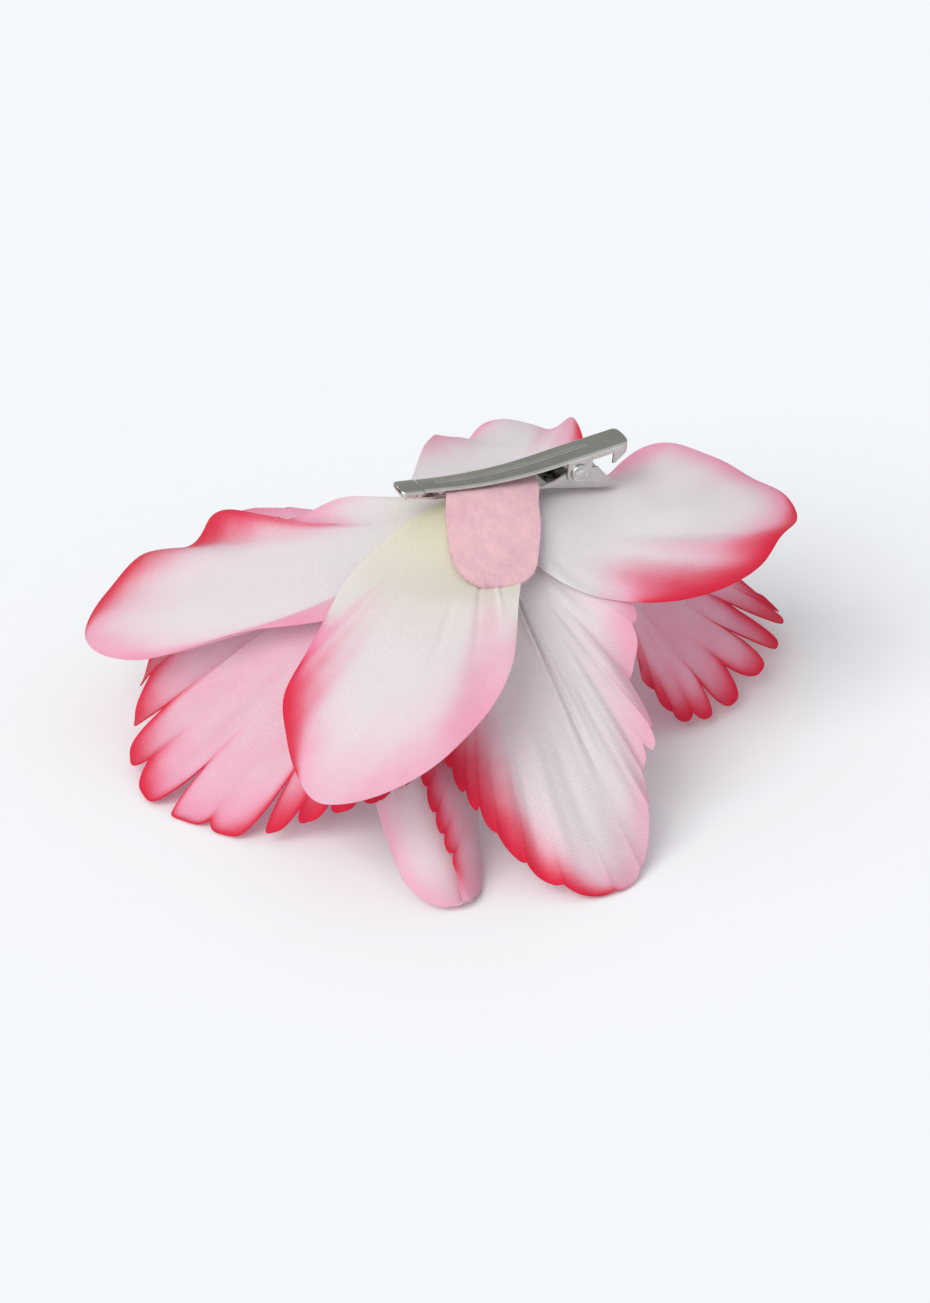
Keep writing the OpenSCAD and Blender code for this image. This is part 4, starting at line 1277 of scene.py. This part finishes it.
    @staticmethod
    def section(flange: Array, bend: Array, crown: Array, far: float) -> Array:
        """One coordinate across the lever: flange, corner, top, and the first two again times far."""
        return np.concatenate(
            [flange, bend[:, 1:], crown[:, 1:], far * bend[:, -2::-1], far * flange[:, -2::-1]], axis=1)

    def build(self, clip: ClipFrame, material: bpy.types.Material) -> bpy.types.Object:
        """Makes the channel: flange, rounded corner, crowned top, corner, flange, at every station along it.

        Args:
            clip: The clip's frame.
            material: Its plate.

        Returns:
            The new piece.
        """
        x = self.stations()
        w, f, top = self.half_width(x)[:, None], self.depth(x)[:, None], self.rise(x)[:, None]
        r = np.minimum(self.corner, 0.45 * w)
        flange = np.linspace(0, 1, 9)[None]
        turn = np.linspace(0, math.pi / 2, 8)[None]
        across = np.linspace(-1, 1, 61)[None]
        sag = self.crown * np.minimum(1.0, w / self.half)
        y = self.section(-w + 0 * flange, -w + r * (1 - np.cos(turn)), (w - r) * across, -1.0)
        z = self.section(-f + (f - r - sag) * flange, -sag - r + r * np.sin(turn), -sag * across**2, 1.0)
        x2 = np.repeat(x[:, None], y.shape[1], axis=1)
        z = z + self.pressed(x2, y) * smooth((z + f * 0.6) / 0.2)
        points = np.stack([x2, y, top + z], axis=-1)
        loops, starts = four(quads(len(x), y.shape[1])[:, ::-1])
        piece = make_piece("lever_channel", clip.out(points.reshape(-1, 3)), loops, starts,
                           "lever", "upper_lever")
        add_modifier(piece, "SOLIDIFY", thickness=self.wall * MM, offset=-1.0, use_rim=True,
                     use_even_offset=True)
        soften(piece, 0.07, 2, 0.9)
        dress(piece, material)
        return piece


@dataclass
class Rivet:
    """The rivet: a shank with a domed head at each end, rolled in at its middle.

    Attributes:
        shank: Radius of the shank, in millimetres.
        head: Radius of the heads.
        face: Distance from the middle to the heads' inner faces.
        dome: Radius of the heads' rounded edge, and its height.
        roll: The face of the rolled end as (radius, height over the inner face), from the dome inwards.
        sides: Number of flats round it.
    """

    shank: float = 1.0
    head: float = 1.9
    face: float = 3.63
    dome: tuple[float, float] = (0.28, 0.30)
    roll: tuple[tuple[float, float], ...] = (
        (1.38, 0.44), (1.26, 0.30), (1.12, 0.30), (1.0, 0.46), (0.7, 0.54), (0.35, 0.56), (0.0, 0.56))
    sides: int = 72

    def build(self, clip: ClipFrame, material: bpy.types.Material) -> bpy.types.Object:
        """Turns the profile round the joint's axis: (radius cos a, along, radius sin a).

        Args:
            clip: The clip's frame.
            material: Its plate.

        Returns:
            The new piece.
        """
        wide, tall = self.dome
        dome = [(self.head - wide + wide * math.cos(a), self.face + 0.22 + tall * math.sin(a))
                for a in np.linspace(0, math.pi / 2, 9)]
        ring = [(radius, self.face + height) for radius, height in self.roll]
        one = [(self.shank, 0.0), (self.shank, self.face), (self.head - 0.1, self.face),
               (self.head, self.face + 0.06)] + dome + ring
        far = [(r, -y) for r, y in one[1:]]
        profile = np.array(far[::-1] + one)
        a = np.arange(self.sides) * 2 * math.pi / self.sides
        points = np.stack([profile[:, :1] * np.cos(a), np.repeat(profile[:, 1:], self.sides, axis=1),
                           profile[:, :1] * np.sin(a)], axis=-1)
        loops, starts = four(quads(len(profile), self.sides, closed=True)[:, ::-1])
        piece = make_piece("rivet_headed", clip.out(points.reshape(-1, 3)), loops, starts,
                           "flower", "pivot_rivet")
        tidy_mesh(piece)
        dress(piece, material)
        return piece


def tidy_mesh(piece: bpy.types.Object) -> None:
    """Merges doubled points, such as those of a pole, and turns every face outwards."""
    work = bmesh.new()
    work.from_mesh(piece.data)
    bmesh.ops.remove_doubles(work, verts=work.verts, dist=1e-7)
    bmesh.ops.dissolve_degenerate(work, edges=work.edges, dist=1e-8)
    bmesh.ops.recalc_face_normals(work, faces=work.faces)
    work.to_mesh(piece.data)
    work.free()


@dataclass(frozen=True)
class Spring:
    """Torsion spring round the rivet, with its lower leg on the jaw and its upper leg against the lever; it
    is copied as one piece and doesn't turn.

    Attributes:
        fixed_under: How far under the pivot the wire would stay still, in millimetres; not used.
        free_over: How far over the pivot the wire would turn with the lever, in millimetres; not used.
    """

    fixed_under: float = 1.5
    free_over: float = 1.3

    def build(self, clip: ClipFrame, material: bpy.types.Material) -> bpy.types.Object:
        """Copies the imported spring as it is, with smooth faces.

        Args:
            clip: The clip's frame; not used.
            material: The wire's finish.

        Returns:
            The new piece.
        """
        piece = bpy.data.objects.new("spring_coil", frame["nodes"]["torsion_spring"].data.copy())
        bpy.context.scene.collection.objects.link(piece)
        tidy_mesh(piece)
        piece.data.polygons.foreach_set("use_smooth", np.ones(len(piece.data.polygons), bool))
        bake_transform(piece)
        dress(piece, material)
        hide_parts("torsion_spring")
        return piece


@dataclass(frozen=True)
class Moulded:
    """A small moulded part: one soft colour with faint clouds and a fine matt grain."""

    base: tuple[float, float, float, float]
    other: tuple[float, float, float, float]
    roughness: float = 0.5
    grain: float = 900.0

    def material(self, name: str) -> bpy.types.Material:
        """Clouds mix the two colours; fine noise raises the surface."""
        s = Shader(name)
        place = s.add("TexCoord").outputs["Object"]
        colour = s.blend(s.noise(place, self.grain / 3), self.base, self.other)
        normal = s.bump(s.noise(place, self.grain * 2, 3.0), 0.00008, 0.5)
        body = s.add("BsdfPrincipled", {"Base Color": colour, "Roughness": self.roughness, "Normal": normal,
                                        "Subsurface Weight": 0.1, "Subsurface Scale": 0.001})
        return s.finish(body.outputs[0])


@dataclass
class Clip:
    """The alligator clip: lever, jaw, rivet and spring."""

    place: ClipFrame
    yaw: float
    lever: Lever = field(default_factory=Lever)
    rivet: Rivet = field(default_factory=Rivet)
    spring: Spring = field(default_factory=Spring)

    def build(self) -> list[bpy.types.Object]:
        """Builds the lever, the rivet and the spring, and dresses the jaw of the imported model."""
        handled = Nickel(PlateWear.HANDLED).material("nickel_lever", self.yaw)
        bright = Nickel(PlateWear.BRIGHT).material("nickel_jaw", self.yaw)
        head = Nickel(PlateWear.BRIGHT, light=(0.80, 0.795, 0.78, 1.0)).material("nickel_rivet", self.yaw)
        wire = Nickel(PlateWear.DRAWN).material("spring_steel", self.yaw)
        return [self.lever.build(self.place, handled), self.rivet.build(self.place, head),
                self.spring.build(self.place, wire),
                dress_node("lower_jaw", bright, round_off=0.09, segments=2, angle=0.7)]


# ---- Flower ----


@dataclass
class Flower:
    """The cloth petals on their peg, with the disc, the column and the cap of the flower's face."""

    middle: Array

    def build(self) -> list[bpy.types.Object]:
        """Builds the petals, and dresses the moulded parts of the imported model."""
        cloth = {
            "sepal_fabric": RibbedCloth().material("sepal_cloth"),
            "petal_fabric": RibbedCloth().material("petal_cloth"),
            "lip_fabric": RibbedCloth().material("lip_cloth"),
        }
        made = []
        ceiling = Ceiling()
        for petal in petals():
            piece = petal.build(self.middle, ceiling)
            dress(piece, cloth[petal.slot])
            made.append(piece)
        finishes = {
            "stem_peg": Moulded((0.55, 0.66, 0.30, 1.0), (0.68, 0.76, 0.42, 1.0)),
            "calyx_disc": Moulded((0.42, 0.55, 0.20, 1.0), (0.55, 0.66, 0.30, 1.0)),
            "column": Moulded((0.92, 0.80, 0.74, 1.0), (0.90, 0.62, 0.66, 1.0), 0.45),
            "anther_cap": Moulded((0.88, 0.62, 0.16, 1.0), (0.93, 0.75, 0.30, 1.0), 0.4),
            "glue_pad": Moulded((0.86, 0.82, 0.68, 1.0), (0.90, 0.87, 0.76, 1.0), 0.3, 300.0),
        }
        for node, finish in finishes.items():
            material = finish.material(node + "_finish")
            made.append(dress_node(node, material, round_off=0.15, segments=3, angle=0.6))
        return made


# ---- Studio ----


@dataclass
class Studio:
    """A pale floor, one wide soft light, even fill, and a camera that looks down at the clip.

    Attributes:
        middle: The flower's middle in metres.
        look_down: How far the camera looks down, in degrees.
        back: How far it is from the middle along its view, in millimetres.
        left: How far it is to the left of that, in millimetres.
        down: How far it is under that, in millimetres.
        lens: Its focal length, for a film 36 mm high.
        floor_half: Half a side of the floor, in metres.
        floor_gap: Distance from the flower down to the floor, in metres.
        fill: Strength of the even fill.
        sun: Strength of the soft light.
        sun_angle: How wide the soft light is, in degrees.
        sun_way: Where it comes from.
    """

    middle: Array
    look_down: float = 30.0
    back: float = 650.0
    left: float = 5.6
    down: float = 30.3
    lens: float = 89.8
    floor_half: float = 4.0
    floor_gap: float = 2e-4
    fill: float = 0.62
    sun: float = 1.85
    sun_angle: float = 46.0
    sun_way: tuple[float, float, float] = (-0.50, -0.62, 0.66)

    def build(self) -> None:
        """Builds the floor, the dark card for the metal, the lights and the camera."""
        self.floor()
        self.card()
        self.light()
        self.camera()

    def floor(self) -> None:
        """A large level sheet of pale paper just under the flower."""
        s = Shader("studio_paper")
        place = s.add("TexCoord").outputs["Object"]
        tone = s.noise(place, 3.0)
        colour = s.blend(tone, (0.935, 0.96, 0.985, 1.0), (0.945, 0.97, 0.99, 1.0))
        paper = s.add("BsdfPrincipled", {"Base Color": colour, "Roughness": 0.9, "Specular IOR Level": 0.1})
        corners = np.array([[-1, -1, 0], [1, -1, 0], [1, 1, 0], [-1, 1, 0]]) * self.floor_half
        self.plane("studio_floor", corners - [0, 0, self.floor_gap], s.finish(paper.outputs[0]))

    def card(self) -> None:
        """A dark card behind the set that only reflections see, so that the metal's top reads as metal."""
        s = Shader("studio_card")
        glow = s.add("Emission", {"Color": (0.33, 0.335, 0.315, 1.0), "Strength": 1.0})
        corners = np.array([[-1.6, 1.0, 0.10], [1.6, 1.0, 0.10], [1.6, 0.45, 1.7], [-1.6, 0.45, 1.7]])
        card = self.plane("studio_card", corners, s.finish(glow.outputs[0]))
        card.visible_camera = card.visible_diffuse = card.visible_shadow = card.visible_transmission = False

    def plane(self, name: str, corners: Array, material: bpy.types.Material) -> bpy.types.Object:
        """One flat face that isn't part of the object."""
        mesh = bpy.data.meshes.new(name)
        mesh.from_pydata(corners.tolist(), [], [(0, 1, 2, 3)])
        sheet = bpy.data.objects.new(name, mesh)
        bpy.context.scene.collection.objects.link(sheet)
        mesh.materials.append(material)
        return sheet

    def light(self) -> None:
        """Even fill from all round and one broad soft light from the front left."""
        world = bpy.data.worlds.new("studio_fill")
        world.use_nodes = True
        fill = world.node_tree.nodes["Background"]
        fill.inputs["Color"].default_value = (0.97, 0.985, 1.0, 1.0)
        fill.inputs["Strength"].default_value = self.fill
        bpy.context.scene.world = world
        lamp = bpy.data.lights.new("studio_window", "SUN")
        lamp.energy = self.sun
        lamp.angle = math.radians(self.sun_angle)
        lamp.color = (1.0, 0.99, 0.975)
        holder = bpy.data.objects.new("studio_window", lamp)
        holder.rotation_euler = Vector(self.sun_way).to_track_quat("Z", "Y").to_euler()
        bpy.context.scene.collection.objects.link(holder)
        bpy.context.scene.view_settings.view_transform = "Standard"

    def camera(self) -> None:
        """The camera looks along +Y and down, with its frame's long side upright."""
        fall = math.radians(self.look_down)
        ahead = np.array([0, math.cos(fall), -math.sin(fall)])
        up = np.array([0, math.sin(fall), math.cos(fall)])
        place = self.middle - (ahead * self.back + np.array([self.left, 0, 0]) + up * self.down) * MM
        lens = bpy.data.cameras.new("studio_camera")
        lens.lens, lens.sensor_width, lens.sensor_fit = self.lens, 36.0, "AUTO"
        lens.clip_start, lens.clip_end = 0.01, 50.0
        holder = bpy.data.objects.new("studio_camera", lens)
        turn = Vector(-ahead).to_track_quat("Z", "Y").to_matrix().to_4x4()
        holder.matrix_world = Matrix.Translation(Vector(place)) @ turn
        bpy.context.scene.collection.objects.link(holder)
        bpy.context.scene.camera = holder


def flower_middle() -> Array:
    """The middle of the flower's back in metres: over the peg's axis, 0.4 mm above the peg's top."""
    low, high = (np.array(corner, float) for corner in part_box("stem_peg"))
    return np.array([(low[0] + high[0]) / 2, (low[1] + high[1]) / 2, high[2] + 0.4 * MM])


def main() -> None:
    """Builds the flower, the clip and the felt, then the studio."""
    logging.basicConfig(level=logging.INFO, format="%(name)s %(message)s")
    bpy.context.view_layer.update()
    middle = flower_middle()
    place = ClipFrame.from_joint(middle)
    yaw = math.atan2(place.axes[0][1], place.axes[0][0])
    made = Flower(middle).build() + Clip(place, yaw).build()
    felt = Felt().material("pressed_felt")
    for piece in FeltPatch().build(middle, place):
        dress(piece, felt)
        made.append(piece)
    for piece in made:
        log.info("%s: %d faces", piece.name, len(piece.data.polygons))
    Studio(middle).build()


if __name__ == "__main__":
    main()
